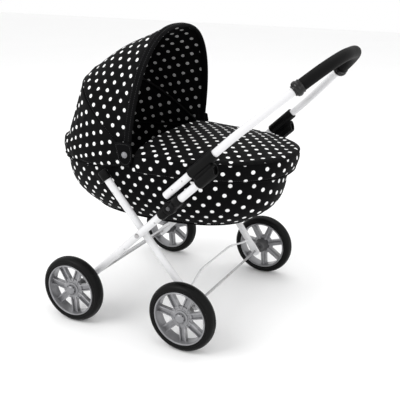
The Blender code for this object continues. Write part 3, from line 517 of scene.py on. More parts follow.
SCREW, ins, out = tree_with("Screw heads on points", ("Size", FLOAT, 0.0026),
                            ("Slot", FLOAT, 0.3))
facing = place(SCREW, "GeometryNodeInputNamedAttribute", {"Name": "facing"},
               data_type="FLOAT_VECTOR")
turned_to = place(SCREW, "FunctionNodeAlignRotationToVector",
                  {"Vector": facing.outputs[0]}, axis="Z")
head = place(SCREW, "GeometryNodeMeshUVSphere", {"Segments": 14, "Rings": 8, "Radius": ins["Size"]})
flat = place(SCREW, "GeometryNodeTransform", {"Geometry": head.outputs[0],
                                             "Scale": (1.0, 1.0, 0.45)})
notch = place(SCREW, "GeometryNodeMeshCylinder",
              {"Vertices": 6, "Radius": math_node(SCREW, "MULTIPLY", ins["Size"], ins["Slot"]),
               "Depth": math_node(SCREW, "MULTIPLY", ins["Size"], 1.02)})
whole = place(SCREW, "GeometryNodeJoinGeometry")
SCREW.links.new(flat.outputs[0], whole.inputs[0])
SCREW.links.new(notch.outputs[0], whole.inputs[0])
driven = place(SCREW, "GeometryNodeInstanceOnPoints",
               {"Points": ins["Geometry"], "Instance": whole.outputs[0],
                "Rotation": turned_to.outputs[0]})
coat(SCREW, realize(SCREW, driven.outputs[0]), ins, out)
print("trees:", [g.name for g in bpy.data.node_groups if g.bl_idname == "GeometryNodeTree"])


# %% Short forms for cords, stitches and screws
def cord(name, path, radius, look, body, slot, closed=False, sides=12, stands_for=()):
    made = grow(path_object(name, path, closed), CORD, look, Radius=radius, Sides=sides)
    return settle(made, body, slot, *stands_for)


def stitches(name, path, body, closed=False, pitch=0.0042):
    made = grow(path_object(name, path, closed), STITCH, THREAD, Pitch=pitch)
    return settle(made, body, "black_fabric")


def screws(name, spots, body, size=0.0026):
    """spots is a list of (point, direction that the head faces)."""
    mesh = bpy.data.meshes.new(name)
    mesh.from_pydata([tuple(p) for p, _ in spots], [], [])
    facing = mesh.attributes.new("facing", "FLOAT_VECTOR", "POINT")
    for i, (_, way) in enumerate(spots):
        facing.data[i].vector = way
    return settle(grow(add_object(name, mesh), SCREW, STEEL, Size=size), body, "steel")


print("cord, stitches and screws ready")

# %% [markdown]
# ## Wheels
# Each wheel is a rubber tyre on a moulded rim with seven spokes. The tyre and the rim are turned
# profiles. A spoke is a channel with a round bar behind it, modelled once and copied round the axle
# by geometry nodes, as is the ring of black plugs on the hub's cap, whose black is painted shade for
# the dark insides of its vent holes.

# %% Profiles of the wheel
TYRE = [(0.0511, -0.0112), (0.0528, -0.0125), (0.0546, -0.0128), (0.0553, -0.0119),
        (0.0562, -0.0119), (0.0578, -0.0124), (0.0600, -0.0117), (0.0620, -0.0100),
        (0.0636, -0.0073), (0.0646, -0.0042), (0.0649, -0.0020), (0.0645, -0.0016),
        (0.0645, -0.0009), (0.0650, -0.0005)]
TYRE = TYRE + [(r, -y) for r, y in reversed(TYRE)]
RIM = [(0.0511, 0.0110), (0.0509, 0.0122), (0.0500, 0.0128), (0.0487, 0.0126), (0.0479, 0.0117),
       (0.0476, 0.0100), (0.0472, 0.0040), (0.0470, -0.0060), (0.0474, -0.0106),
       (0.0488, -0.0121), (0.0505, -0.0121), (0.0511, -0.0110)]
HUB = [(0.0031, 0.0045), (0.0165, 0.0045), (0.0172, 0.0036), (0.0200, 0.0036), (0.0216, 0.0030),
       (0.0221, 0.0014), (0.0214, -0.0016), (0.0175, -0.0042), (0.0031, -0.0042)]
CONE = [(0.0031, -0.0038), (0.0160, -0.0038), (0.0138, -0.0070), (0.0126, -0.0200),
        (0.0112, -0.0242), (0.0100, -0.0255), (0.0031, -0.0255)]
CAP = [(0.0, 0.0145), (0.0034, 0.0143), (0.0064, 0.0135), (0.0085, 0.0120), (0.0096, 0.0100),
       (0.0100, 0.0076), (0.0104, 0.0066), (0.0128, 0.0064), (0.0138, 0.0058), (0.0140, 0.0049),
       (0.0, 0.0049)]
print("profiles:", len(TYRE), len(RIM), len(HUB), len(CAP), "points")


# %% One spoke and the painted shade of one vent hole
SPOKES, VENTS = 7, 8
SPOKE_START = -math.pi / 2 - 0.530


def spoke_shapes(side):
    """A channel that opens outward, with a round bar on its inner side."""
    shapes = []
    channel = []
    for r, wide in ((0.0140, 0.0128), (0.0240, 0.0126), (0.0360, 0.0122), (0.0440, 0.0124),
                    (0.0478, 0.0134)):
        half, rib, floor = wide / 2, 0.0021, 0.0014
        section = [(-half, -0.0036), (half, -0.0036), (half, 0.0046), (half - rib, 0.0050),
                   (half - rib - 0.0003, floor), (-half + rib + 0.0003, floor),
                   (-half + rib, 0.0050), (-half, 0.0046)]
        channel.append([Vector((r, side * y, z)) for z, y in section])
    shapes.append(loft(channel))
    bar = [Vector((r, side * -0.0038, 0)) for r in (0.0140, 0.0250, 0.0370, 0.0478)]
    shapes.append(tube(bar, [0.0036, 0.0030, 0.0027, 0.0032], 12))
    return shapes


# A black plug, nearly flush with the cap, stands for a vent hole: its black is painted shade inside
# the hole.
def painted_vent_shade(side):
    centre = Vector((0.0092, side * 0.0104, 0))
    out = Vector((0.93, side * 0.37, 0)).normalized()
    return tube([centre - out * 0.0010, centre + out * 0.0003], 0.0011, 8)


print("a spoke has", sum(len(s[1]) for s in spoke_shapes(1)), "faces")


# %% Four wheels
for end in ("front", "rear"):
    for side, name in SIDES:
        tag = f"{end}_{name}"
        low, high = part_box(f"tyre_{tag}")
        centre = (low + high) / 2
        body = f"wheel_{tag}"
        tyre = piece(f"rubber_tyre_{tag}", [turned(TYRE + TYRE[:1], centre, side, 96)], [RUBBER])
        settle(tyre, body, "black_rubber", f"tyre_{tag}")
        spokes = grow(piece(f"spokes_{tag}", spoke_shapes(side), [GREY]), ROUND, GREY,
                      Count=SPOKES, Start=SPOKE_START, Centre=centre)
        settle(spokes, body, "grey_plastic")
        disc = piece(f"rim_and_hub_{tag}",
                     [turned(RIM + RIM[:1], centre, side, 96), turned(HUB + HUB[:1], centre, side),
                      (*turned(CONE + CONE[:1], centre, side), 1)], [GREY, DARK_GREY])
        settle(disc, body, "grey_plastic", f"wheel_disc_{tag}")
        cap = piece(f"domed_cap_{tag}", [turned(CAP + CAP[:1], centre, side)], [GREY])
        settle(cap, body, "grey_plastic", f"hub_cap_{tag}")
        # The ring of black plugs is painted shade in place of open vent holes.
        vents = grow(piece(f"cap_vent_shade_{tag}", [painted_vent_shade(side)], [BLACK]), ROUND, BLACK,
                     Count=VENTS, Centre=centre)
        settle(vents, body, "black_plastic")
print("four wheels, each with", SPOKES, "spokes and", VENTS, "vents")

# %% [markdown]
# ## Tube frame
# The tubes are white powder-coated steel. Their lower ends are pressed flat where the axle goes
# through, so a tube is lofted from flat sections that swell into round ones.

# %% Places on the frame
FRONT_AXLE = (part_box("front_axle")[0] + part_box("front_axle")[1]) / 2
REAR_AXLE = (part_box("rear_axle")[0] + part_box("rear_axle")[1]) / 2
JOINT = {j["name"]: Vector(j["pos_m"]) for j in frame["joints"] if "pos_m" in j}
KNUCKLE = JOINT["handle_fold"]
ALONG = Vector(next(j for j in frame["joints"] if j["name"] == "handle_slide")["axis"])
ABOVE = Vector((-ALONG.z, 0, ALONG.x))
TUBE = 0.0070
SLEEVE = 0.0092
SLEEVE_STARTS = 0.0145      # from the knuckle's rivet to the tubes' ends inside the sleeves
KNUCKLE_Y = 0.1800
PUSH_Y = 0.148827
CROSS_Y = 0.1415
CROSS_TOP = Vector((-0.117735, 0.1620, 0.2988))


def push_ends(side):
    """The push tube's line, from the front axle to the knuckle."""
    return (Vector((FRONT_AXLE.x, side * PUSH_Y, FRONT_AXLE.z)),
            Vector((KNUCKLE.x, side * KNUCKLE_Y, KNUCKLE.z)))


def cross_ends(side):
    """The cross tube's line, from the rear axle to its cap."""
    return (Vector((REAR_AXLE.x, side * CROSS_Y, REAR_AXLE.z)),
            Vector((CROSS_TOP.x, side * CROSS_TOP.y, CROSS_TOP.z)))


def on_upper(side, along, above=0.0, out=0.0):
    """A point by the upper tube, measured from the knuckle."""
    return KNUCKLE + ALONG * along + ABOVE * above + Vector((0, side * (KNUCKLE_Y + out), 0))


def pressed_tube(bottom, top):
    run = top - bottom
    way = run.normalized()
    flat = way.cross(Vector((0, 1, 0))).normalized()
    thick = flat.cross(way).normalized()
    rings = []
    stops = [(-0.0090, 0.50, 0.0), (-0.0080, 0.78, 0.0), (-0.0060, 0.94, 0.0), (-0.0035, 1.0, 0.0),
             (0.0, 1.0, 0.0), (0.0100, 1.0, 0.0)]
    stops += [(0.0100 + 0.018 * s, 1.0, s * s * (3 - 2 * s)) for s in (0.2, 0.4, 0.6, 0.8, 1.0)]
    stops.append((run.length, 1.0, 1.0))
    for along, wide, share in stops:
        ring = []
        for c, s in circle(24):
            pressed = max(-1.0, min(1.0, 1.8 * s)) * 0.0020
            ring.append(bottom + way * along
                        + flat * (c * ((1 - share) * 0.0090 * wide + share * TUBE))
                        + thick * ((1 - share) * pressed + share * TUBE * s))
        rings.append(ring)
    return loft(rings)


print("tubes run from axles at", FRONT_AXLE.x, REAR_AXLE.x, "to knuckles at", KNUCKLE.x)

# %% Side tubes, upper tubes and axles
for side, name in SIDES:
    low, high = push_ends(side)
    end = high - (high - low).normalized() * SLEEVE_STARTS
    settle(piece(f"white_push_tube_{name}", [pressed_tube(low, end)], [WHITE]), "chassis",
           "white_coat", f"push_tube_{name}")
    foot, top = cross_ends(side)
    settle(piece(f"white_cross_tube_{name}", [pressed_tube(foot, top)], [WHITE]), "rear_frame",
           "white_coat", f"cross_tube_{name}")
    way = (top - foot).normalized()
    path = [top - way * 0.0160, top - way * 0.0154, top + way * 0.0012, top + way * 0.0026,
            top + way * 0.0032]
    settle(piece(f"black_tube_cap_{name}",
                 [tube(path, [0.0088, SLEEVE, SLEEVE, 0.0084, 0.0062])], [BLACK]),
           "rear_frame", "black_plastic", f"cross_tube_cap_{name}")
    path = [on_upper(side, along) for along in (SLEEVE_STARTS, 0.0400, 0.0900, 0.1080)]
    settle(piece(f"white_upper_tube_{name}", [tube(path, TUBE)], [WHITE]), "handle_frame",
           "white_coat", f"upper_tube_{name}")
print("side tubes done")

# %% Brace wires
WIRE_UP = 0.0300             # from the axle up the tubes to the wire's ends
WIRE_BOW = 0.0140            # how far the wire's middle stands above its ends
WIRE_BEND = 0.085            # length of the bend at each end
for end, body, centre, slope, tube_y in (
        ("front", "chassis", FRONT_AXLE, ALONG, 0.1526),
        ("rear", "rear_frame", REAR_AXLE,
         Vector((CROSS_TOP.x - REAR_AXLE.x, 0, CROSS_TOP.z - REAR_AXLE.z)).normalized(), 0.1440)):
    path = []
    reach = tube_y - TUBE + 0.0008
    for i in range(61):
        y = -reach + 2 * reach * i / 60
        share = min(1.0, (reach - abs(y)) / WIRE_BEND)
        path.append(centre + slope * (WIRE_UP + WIRE_BOW * share * share * (3 - 2 * share))
                    + Vector((0, y, 0)))
    cord(f"bowed_wire_{end}", path, 0.0020, WHITE, body, "white_coat",
         stands_for=(f"{end}_brace_wire",))
print("two bowed wires")

# %% [markdown]
# ## Folding knuckle and clamps
# Two discs on a rivet let the handle fold, and each holds its tube in a sleeve. Above them a clamp
# with two barrels joins the upper tube to the handle and lets it slide. The lower barrel is shorter,
# with a slanted mouth, and the clamp's inner side has ribs.

# %% Knuckles
DISC = [(0.0, 0.0002), (0.0115, 0.0002), (0.0115, 0.0058), (0.0109, 0.0070), (0.0096, 0.0075),
        (0.0062, 0.0075), (0.0060, 0.0069), (0.0, 0.0069)]
RIVET_HEAD = [(0.0, 0.0093), (0.0020, 0.0091), (0.0034, 0.0084), (0.0040, 0.0072), (0.0040, 0.0066),
              (0.0, 0.0066)]
for side, name in SIDES:
    low, centre = push_ends(side)
    down = (low - centre).normalized()
    for body, kind, way, half in (("chassis", "base", down, -1), ("handle_frame", "lever", ALONG, 1)):
        stops = [(0.0108, 0.0072), (0.0120, 0.0088), (0.0128, SLEEVE), (0.0262, SLEEVE),
                 (0.0278, 0.0089), (0.0284, 0.0076)]
        sleeve = tube([centre + way * s for s, _ in stops], [r for _, r in stops])
        neck_middle = centre + way * 0.0095 + Vector((0, side * half * 0.0036, 0))
        neck = tube([neck_middle - way * 0.004, neck_middle + way * 0.004], [0.0058, 0.0068], 16)
        disc = turned(DISC + DISC[:1], centre, side * half, 40)
        settle(piece(f"fold_knuckle_{kind}_{name}", [disc, sleeve, neck], [BLACK]), body,
               "black_plastic", f"knuckle_{kind}_{name}")
    heads = [turned(RIVET_HEAD + RIVET_HEAD[:1], centre, s, 24) for s in (-1, 1)]
    settle(piece(f"fold_rivet_{name}", heads, [DARK_GREY]), "chassis", "steel",
           f"knuckle_rivet_{name}")
print("two knuckles")

# %% Clamps
CLAMP_START, CLAMP_END, CLAMP_SHORT, RISE = 0.0740, 0.1340, 0.1215, 0.0204
BARREL = 0.0102


def barrel(side, start, end, above, slant):
    """A barrel with soft lips; the mouth at its end is cut at a slant and is hollow."""
    rings = []
    for share, radius in ((0.0, 0.0075), (0.0, 0.0092), (0.015, 0.0100), (0.04, BARREL),
                          (0.96, BARREL), (0.985, 0.0100), (1.0, 0.0092), (1.0, 0.0078),
                          (0.88, 0.0074)):
        ring = []
        for c, s in circle(28):
            cut = slant * (1 - c) / 2 * max(0.0, (share - 0.5) * 2)
            ring.append(on_upper(side, start + (end - start) * share - cut, above + radius * c,
                                 side * radius * s))
        rings.append(ring)
    return loft(rings)


def rounded_bar(a, b, u, v, half_u, half_v):
    """A bar with rounded corners from a to b; u and v are its two widths' directions."""
    rings = []
    for share, grow_by in ((0.0, 0.72), (0.04, 0.94), (0.1, 1.0), (0.9, 1.0), (0.96, 0.94),
                           (1.0, 0.72)):
        ring = []
        for c, s in circle(16):
            ring.append(a.lerp(b, share)
                        + u * (signed_power(c, 0.5) * half_u * grow_by)
                        + v * (signed_power(s, 0.5) * half_v * grow_by))
        rings.append(ring)
    return loft(rings)


OUT = Vector((0, 1, 0))
for side, name in SIDES:
    shapes = [barrel(side, CLAMP_START, CLAMP_END, RISE, 0.0),
              barrel(side, CLAMP_START, CLAMP_SHORT, 0.0, 0.0095),
              rounded_bar(on_upper(side, CLAMP_START + 0.0015, RISE / 2),
                          on_upper(side, CLAMP_SHORT - 0.0030, RISE / 2), ABOVE, OUT,
                          0.0060, 0.0062)]
    for i in range(5):
        height = -0.0058 + 0.0080 * i
        bulge = -0.0098 if i in (0, 1, 3, 4) else -0.0066
        shapes.append(rounded_bar(on_upper(side, CLAMP_START + 0.006, height, bulge),
                                  on_upper(side, CLAMP_SHORT - 0.008, height, bulge),
                                  ABOVE, OUT, 0.0008, 0.0012))
    settle(piece(f"double_clamp_{name}", shapes, [BLACK], 30), "handle_frame", "black_plastic",
           f"handle_clamp_{name}")
print("two clamps with ribs")

# %% [markdown]
# ## Handle
# One white tube runs from clamp to clamp. It is swept along a path with round bends by geometry
# nodes. The foam grip is a thicker skin on the same path, and a stepped collar closes each end.

# %% The handle's path


def handle_point(along, y):
    return KNUCKLE + ALONG * along + ABOVE * RISE + Vector((0, y, 0))


def rounded_path(corners, radii, step=math.radians(4)):
    path = [corners[0]]
    for before, corner, after, radius in zip(corners, corners[1:], corners[2:], radii):
        a, b = (before - corner).normalized(), (after - corner).normalized()
        bend = math.pi - a.angle(b)
        reach = radius * math.tan(bend / 2)
        centre = corner + (a + b).normalized() * (radius / math.cos(bend / 2))
        first = corner + a * reach - centre
        axis = first.cross(corner + b * reach - centre).normalized()
        steps = max(2, round(bend / step))
        path += [centre + Matrix.Rotation(bend * i / steps, 3, axis) @ first
                 for i in range(steps + 1)]
    return path + [corners[-1]]


HANDLE = rounded_path([handle_point(0.0080, -KNUCKLE_Y), handle_point(0.1780, -KNUCKLE_Y),
                       handle_point(0.3520, -0.0780), handle_point(0.3520, 0.0780),
                       handle_point(0.1780, KNUCKLE_Y), handle_point(0.0080, KNUCKLE_Y)],
                      (0.070, 0.115, 0.115, 0.070))


def height_on(point):
    return (point - KNUCKLE).dot(ALONG)


def part_of(path, level):
    """The points of a path above a level, cut off exactly at it."""
    kept = []
    for a, b in zip(path, path[1:]):
        la, lb = height_on(a) - level, height_on(b) - level
        if la * lb < 0:
            kept.append(a.lerp(b, la / (la - lb)))
        if lb > 0:
            kept.append(b)
    return kept


cord("white_handle_tube", HANDLE, TUBE, WHITE, "handle", "white_coat", sides=24,
     stands_for=("handle_tube",))
print("handle path of", len(HANDLE), "points")

# %% Foam grip and collars
FOAM_START, FOAM_RADIUS = 0.2940, 0.0105
grip_path = part_of(HANDLE, FOAM_START)
radii = [FOAM_RADIUS] * len(grip_path)
radii[0] = radii[-1] = 0.0100
settle(piece("black_foam_grip", [tube(grip_path, radii, 32)], [FOAM], 60),
       "handle", "black_foam", "foam_grip")
COLLAR = [(0.0000, 0.0074), (0.0001, 0.0088), (0.0010, 0.0096), (0.0026, 0.0098), (0.0030, 0.0112),
          (0.0046, 0.0126), (0.0070, 0.0134), (0.0094, 0.0134), (0.0112, 0.0127), (0.0117, 0.0117),
          (0.0140, 0.0116), (0.0146, 0.0121), (0.0164, 0.0119), (0.0168, 0.0108), (0.0168, 0.0074)]
for side, name in SIDES:
    ends = [p for p in part_of(HANDLE, FOAM_START - 0.0147) if p.y * side > 0]
    low = min(ends, key=height_on)
    rest = [p for p in grip_path if p.y * side > 0]
    way = (min(rest, key=height_on) - low).normalized()
    shape = tube([low + way * s for s, _ in COLLAR], [r for _, r in COLLAR], 32)
    settle(piece(f"ball_collar_{name}", [shape], [GLOSSY]), "handle", "black_plastic",
           f"grip_collar_{name}")
print("grip and collars")

# %% Small screws


push = [(*push_ends(s), s) for s, _ in SIDES]
cross = [(*cross_ends(s), s) for s, _ in SIDES]


def on_tube(line, share, turn):
    """A point on a tube's skin at a share of its length, turned up from its outer side."""
    a, b, side = line
    way = (b - a).normalized()
    out = (Vector((0, side, 0)) - way * way.y * side).normalized()
    facing = Matrix.Rotation(turn, 3, way) @ out
    return a.lerp(b, share) + facing * (TUBE - 0.0003), facing


screws("push_tube_screws", [on_tube(p, s, 0.5) for p in push for s in (0.50, 0.845)], "chassis",
       0.0019)
screws("cross_tube_screws", [on_tube(c, 0.86, -0.4) for c in cross], "rear_frame", 0.0019)
screws("handle_screws", [(handle_point(a, s * KNUCKLE_Y) + OUT * s * 0.0068, OUT * s)
                         for s, _ in SIDES for a in (0.0300, 0.0560)], "handle", 0.0015)
print("ten small screws")

# %% [markdown]
# ## Cloth laid out flat
# Printed cloth is cut from a flat roll, so its dots stay round and its rows stay even. Unwrapping a
# sheet to UV and scaling the result to metres gives the same: the dots follow the flat cut. The
# sheet is then given a wall, with the lining as its inner face.


# %% Helpers for cloth
def grid(name, rows, looks, closed=False):
    """A sheet from rows of points. A closed one joins each row's end to its start."""
    count = len(rows[0])
    mesh = bpy.data.meshes.new(name)
    spans = count if closed else count - 1
    faces = [(i * count + j, i * count + (j + 1) % count, (i + 1) * count + (j + 1) % count,
              (i + 1) * count + j) for i in range(len(rows) - 1) for j in range(spans)]
    mesh.from_pydata([tuple(p) for row in rows for p in row], [], faces)
    for look in looks:
        mesh.materials.append(look)
    return add_object(name, mesh)


def face_out(made, centre):
    """Turn the faces so that they look away from a point."""
    inward = 0
    for face in made.data.polygons:
        inward += 1 if face.normal.dot(face.center - centre) < 0 else -1
    if inward > 0:
        made.data.flip_normals()


def islands_of(mesh):
    """The sheet's parts between its seams, as lists of face numbers."""
    beside = {}
    for face in mesh.polygons:
        for key in face.edge_keys:
            beside.setdefault(key, []).append(face.index)
    cut = {tuple(sorted(e.vertices)) for e in mesh.edges if e.use_seam}
    left, parts = set(range(len(mesh.polygons))), []
    while left:
        todo, part = [left.pop()], []
        while todo:
            here = todo.pop()
            part.append(here)
            for key in mesh.polygons[here].edge_keys:
                for there in beside[key]:
                    if key not in cut and there in left:
                        left.remove(there)
                        todo.append(there)
        parts.append(sorted(part))
    return parts


def lay_flat(made, seams, *lines):
    """Unwrap along seams, which are a test on two vertex numbers. Each line is two vertices that
    lie along a row of the print. Gives the flat width, length and area, in metres."""
    mesh = made.data
    for edge in mesh.edges:
        edge.use_seam = seams(*edge.vertices)
    bpy.ops.object.select_all(action="DESELECT")
    bpy.context.view_layer.objects.active = made
    made.select_set(True)
    bpy.ops.object.mode_set(mode="EDIT")
    bpy.ops.mesh.select_all(action="SELECT")
    bpy.ops.uv.unwrap(method="ANGLE_BASED", margin=0.001)
    bpy.ops.object.mode_set(mode="OBJECT")
    layer = mesh.uv_layers.active.data
    flat = np.zeros(len(layer) * 2)
    layer.foreach_get("uv", flat)
    flat = flat.reshape(-1, 2)
    area = sum(face.area for face in mesh.polygons)
    widths, lengths = [], []
    for part in islands_of(mesh):
        loops, corner_of, paper, real = [], {}, 0.0, 0.0
        for number in part:
            face = mesh.polygons[number]
            loops += face.loop_indices
            corner_of.update(zip(face.vertices, face.loop_indices))
            xy = flat[list(face.loop_indices)]
            after = np.roll(xy, -1, axis=0)
            paper += abs((xy[:, 0] * after[:, 1] - after[:, 0] * xy[:, 1]).sum()) / 2
            real += face.area
        here = next((l for l in lines if l[0] in corner_of and l[1] in corner_of), None)
        a, way = flat[loops[0]].copy(), np.array((1.0, 0.0))
        if here:
            a = flat[corner_of[here[0]]].copy()
            way = flat[corner_of[here[1]]] - a
            way /= np.linalg.norm(way)
        turn = np.array([[way[0], way[1]], [-way[1], way[0]]])
        flat[loops] = (flat[loops] - a) @ turn.T * math.sqrt(real / paper)
        size = flat[loops].max(0) - flat[loops].min(0)
        widths.append(float(size[0]))
        lengths.append(float(size[1]))
    layer.foreach_set("uv", flat.ravel())
    return max(widths), sum(w * l for w, l in zip(widths, lengths)) / max(widths), area


def give_wall(made, thickness):
    """Thicken inward; the inner face takes the second material."""
    wall = made.modifiers.new("wall", "SOLIDIFY")
    wall.thickness = thickness
    wall.offset = -1.0
    wall.material_offset = 1
    wall.material_offset_rim = 0
    bpy.context.view_layer.update()
    seen = made.evaluated_get(bpy.context.evaluated_depsgraph_get())
    mesh = bpy.data.meshes.new_from_object(seen)
    made.modifiers.clear()
    made.data = mesh
    mesh.shade_smooth()
    mesh.set_sharp_from_angle(angle=math.radians(50))
    return made


def drape(made, loose, pressure=0.0, weight=0.0, cap=0.006, frames=14, stiff=15.0):
    """Cloth simulation of a sheet. loose gives, for each vertex, how free it is, from 0 to 1; the
    rest are pinned. No point moves further than cap."""
    rest = [v.co.copy() for v in made.data.vertices]
    group = made.vertex_groups.new(name="pin")
    for vertex in made.data.vertices:
        group.add([vertex.index], 1.0 - loose(vertex.index), "REPLACE")
    change = made.modifiers.new("cloth", "CLOTH")
    settings = change.settings
    settings.quality = 6
    settings.mass = 0.25
    settings.tension_stiffness = stiff
    settings.compression_stiffness = stiff
    settings.shear_stiffness = 5.0
    settings.bending_stiffness = 0.4
    settings.vertex_group_mass = "pin"
    settings.use_pressure = pressure != 0
    settings.uniform_pressure_force = pressure
    settings.effector_weights.gravity = weight
    change.collision_settings.use_collision = False
    change.point_cache.frame_start = 1
    change.point_cache.frame_end = frames
    scene = bpy.context.scene
    for number in range(1, frames + 1):
        scene.frame_set(number)
    seen = made.evaluated_get(bpy.context.evaluated_depsgraph_get())
    moved = [v.co.copy() for v in seen.data.vertices]
    made.modifiers.clear()
    made.vertex_groups.clear()
    scene.frame_set(1)
    for vertex, home, now in zip(made.data.vertices, rest, moved):
        shift = now - home
        if shift.length > cap:
            shift = shift.normalized() * cap
        vertex.co = home + shift
    made.data.update()
    print(made.name, "moved up to",
          round(max((v.co - r).length for v, r in zip(made.data.vertices, rest)) * 1000, 1), "mm")


print("cloth helpers ready")


# %% Outlines of the cot
COT_LOW, COT_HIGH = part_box("carrycot_shell")
COT_X = (COT_LOW.x + COT_HIGH.x) / 2
COT_LENGTH = (COT_HIGH.x - COT_LOW.x) / 2
COT_WIDTH = (COT_HIGH.y - COT_LOW.y) / 2
RIM_Z = COT_HIGH.z
COT_DEPTH = COT_HIGH.z - COT_LOW.z
PLAN = 2.35


def power_curve(angle, power=PLAN):
    c, s = math.cos(angle), math.sin(angle)
    return signed_power(c, 2 / power), signed_power(s, 2 / power)


def even_angles(power, length, width, start, end, count):
    """Angles that step evenly along a power curve's outline."""
    fine = [start + (end - start) * i / 2000 for i in range(2001)]
    points = [(power_curve(a, power)[0] * length, power_curve(a, power)[1] * width) for a in fine]
    run = [0.0]
    for p, q in zip(points, points[1:]):
        run.append(run[-1] + math.dist(p, q))
    return [float(np.interp(run[-1] * i / count, run, fine)) for i in range(count + 1)]


def cot_size(share):
    length = COT_LENGTH * (1 - 0.25 * share ** 5.0 - 0.03 * share)
    width = COT_WIDTH * (1 - 0.31 * share ** 2.8 - 0.02 * share)
    return length, width, RIM_Z - COT_DEPTH * share


AROUND = even_angles(PLAN, COT_LENGTH, COT_WIDTH, 0.0, 2 * math.pi, 144)[:-1]
print("cot outline", round(2 * COT_LENGTH, 4), "x", round(2 * COT_WIDTH, 4), "m")

# %% [markdown]
# ## Carrycot
# The cot is a tub of dotted cloth stretched over stiff board: one sheet for the side, gathered to a
# smaller floor, with a piped seam round the floor's edge. It is made by rows of outlines that shrink
# towards the floor. A gentle pressure in a cloth simulation, pinned at the rim and the piping, gives
# the slight swell that stretched cloth has.

# %% The tub
shares = [i / 22 for i in range(23)]
rows = []
for share in shares:
    length, width, z = cot_size(share)
    rows.append([Vector((COT_X + power_curve(a)[0] * length, power_curve(a)[1] * width, z))
                 for a in AROUND])
FLOOR_ROW = len(rows) - 1
length, width, z = cot_size(1.0)
for scale in (0.96, 0.8, 0.6, 0.4, 0.2, 0.04):
    rows.append([Vector((COT_X + power_curve(a)[0] * length * scale,
                         power_curve(a)[1] * width * scale, z)) for a in AROUND])
COUNT = len(AROUND)
tub = grid("carrycot_cover", rows, [DOTTED, DOTTED_BACK_PAINTED_SHADE], closed=True)
face_out(tub, Vector((COT_X, 0, RIM_Z)))
BACK_COLUMN = min(range(COUNT), key=lambda j: rows[0][j].x)
floor_edge = {FLOOR_ROW * COUNT + j for j in range(COUNT)}
back_edge = {i * COUNT + BACK_COLUMN for i in range(len(rows))}
start = min(range(COUNT), key=lambda j: abs(rows[0][j].x - (COT_X - 0.08)) + (rows[0][j].y > 0))
end = min(range(COUNT), key=lambda j: abs(rows[0][j].x - (COT_X + 0.08)) + (rows[0][j].y > 0))
TUB_FLAT = lay_flat(tub, lambda a, b: (a in floor_edge and b in floor_edge)
                    or (a in back_edge and b in back_edge), (8 * COUNT + start, 8 * COUNT + end))
print("tub flat", [round(v, 4) for v in TUB_FLAT])


def tub_loose(index):
    row, column = divmod(index, COUNT)
    if row >= FLOOR_ROW:
        return 0.0
    return math.sin(math.pi * row / FLOOR_ROW) ** 0.5


drape(tub, tub_loose, pressure=0.9, cap=0.0035, frames=10)
tub_outer = [v.co.copy() for v in tub.data.vertices]
give_wall(tub, 0.0034)
settle(tub, "chassis", "black_fabric", "carrycot_shell")

# %% Piping, rim binding and stitches on the tub
piping = [p + (p - Vector((COT_X, 0, p.z))).normalized() * 0.0006
          for p in tub_outer[FLOOR_ROW * COUNT:(FLOOR_ROW + 1) * COUNT]]
cord("floor_piping", piping, 0.0019, TAPE, "chassis", "black_fabric", closed=True)
rim = [Vector((COT_X + power_curve(a)[0] * (COT_LENGTH - 0.0020),
               power_curve(a)[1] * (COT_WIDTH - 0.0020), RIM_Z + 0.0022)) for a in AROUND]
cord("rim_binding", rim, 0.0030, TAPE, "chassis", "black_fabric", closed=True,
     stands_for=("rim_hoop",))
seam = [p + (p - Vector((COT_X, 0, p.z + 0.02))).normalized() * 0.0003
        for p in tub_outer[(FLOOR_ROW - 1) * COUNT:FLOOR_ROW * COUNT]]
stitches("floor_seam_stitches", seam, "chassis", closed=True)
print("tub trimmed")

# %% [markdown]
# ## Foot apron
# The apron is a soft cover over the foot end. Its crowned top is sewn to a skirt at the rim, so there
# are two flat pieces and a seam between them. Pressure, with the seam, the hem and the back edge
# pinned, puffs both up. A cord of piping covers the seam, and the hem has a binding and stitches.

# %% The apron
APRON_LOW, APRON_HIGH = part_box("apron")
APRON_SEAM_Z = 0.3322
APRON_CROWN = 0.0215
ANGLES = even_angles(PLAN, APRON_HIGH.x - APRON_LOW.x, APRON_HIGH.y, -math.pi / 2, math.pi / 2, 108)


def apron_ring(scale, z, out=0.0):
    ring = []
    for a in ANGLES:
        c, s = power_curve(a)
        ring.append(Vector((APRON_LOW.x + (APRON_HIGH.x - APRON_LOW.x + out) * c * scale,
                            (APRON_HIGH.y + out) * s * scale, z)))
    return ring


rows = []
for i in range(10):
    t = i / 9
    z = APRON_LOW.z + (APRON_SEAM_Z - APRON_LOW.z) * t
    rows.append(apron_ring(1.0, z, -0.0060 * (1 - t) ** 2 + 0.0022 * math.sin(math.pi * t) - 0.001))
SEAM_ROW = len(rows) - 1
for i in range(1, 34):
    scale = 1 - (i / 33) * 0.985
    rows.append(apron_ring(scale, APRON_SEAM_Z + APRON_CROWN * (1 - scale ** 2.6) ** 0.6))
apron = grid("apron_cover", rows, [DOTTED, DOTTED_BACK_PAINTED_SHADE])
face_out(apron, Vector((APRON_LOW.x, 0, APRON_LOW.z)))
WIDE = len(ANGLES)
seam_line = {SEAM_ROW * WIDE + j for j in range(WIDE)}
APRON_FLAT = lay_flat(apron, lambda a, b: a in seam_line and b in seam_line,
                      ((SEAM_ROW + 26) * WIDE + WIDE // 2, (SEAM_ROW + 8) * WIDE + WIDE // 2),
                      (4 * WIDE + 10, 4 * WIDE + 16))


def apron_loose(index):
    row, column = divmod(index, WIDE)
    edge = min(1.0, min(column, WIDE - 1 - column) / 3)
    if row <= SEAM_ROW:
        return edge * math.sin(math.pi * row / SEAM_ROW) ** 0.5
    return edge * min(1.0, (row - SEAM_ROW) / 3) * min(1.0, (len(rows) - 1 - row) / 5)


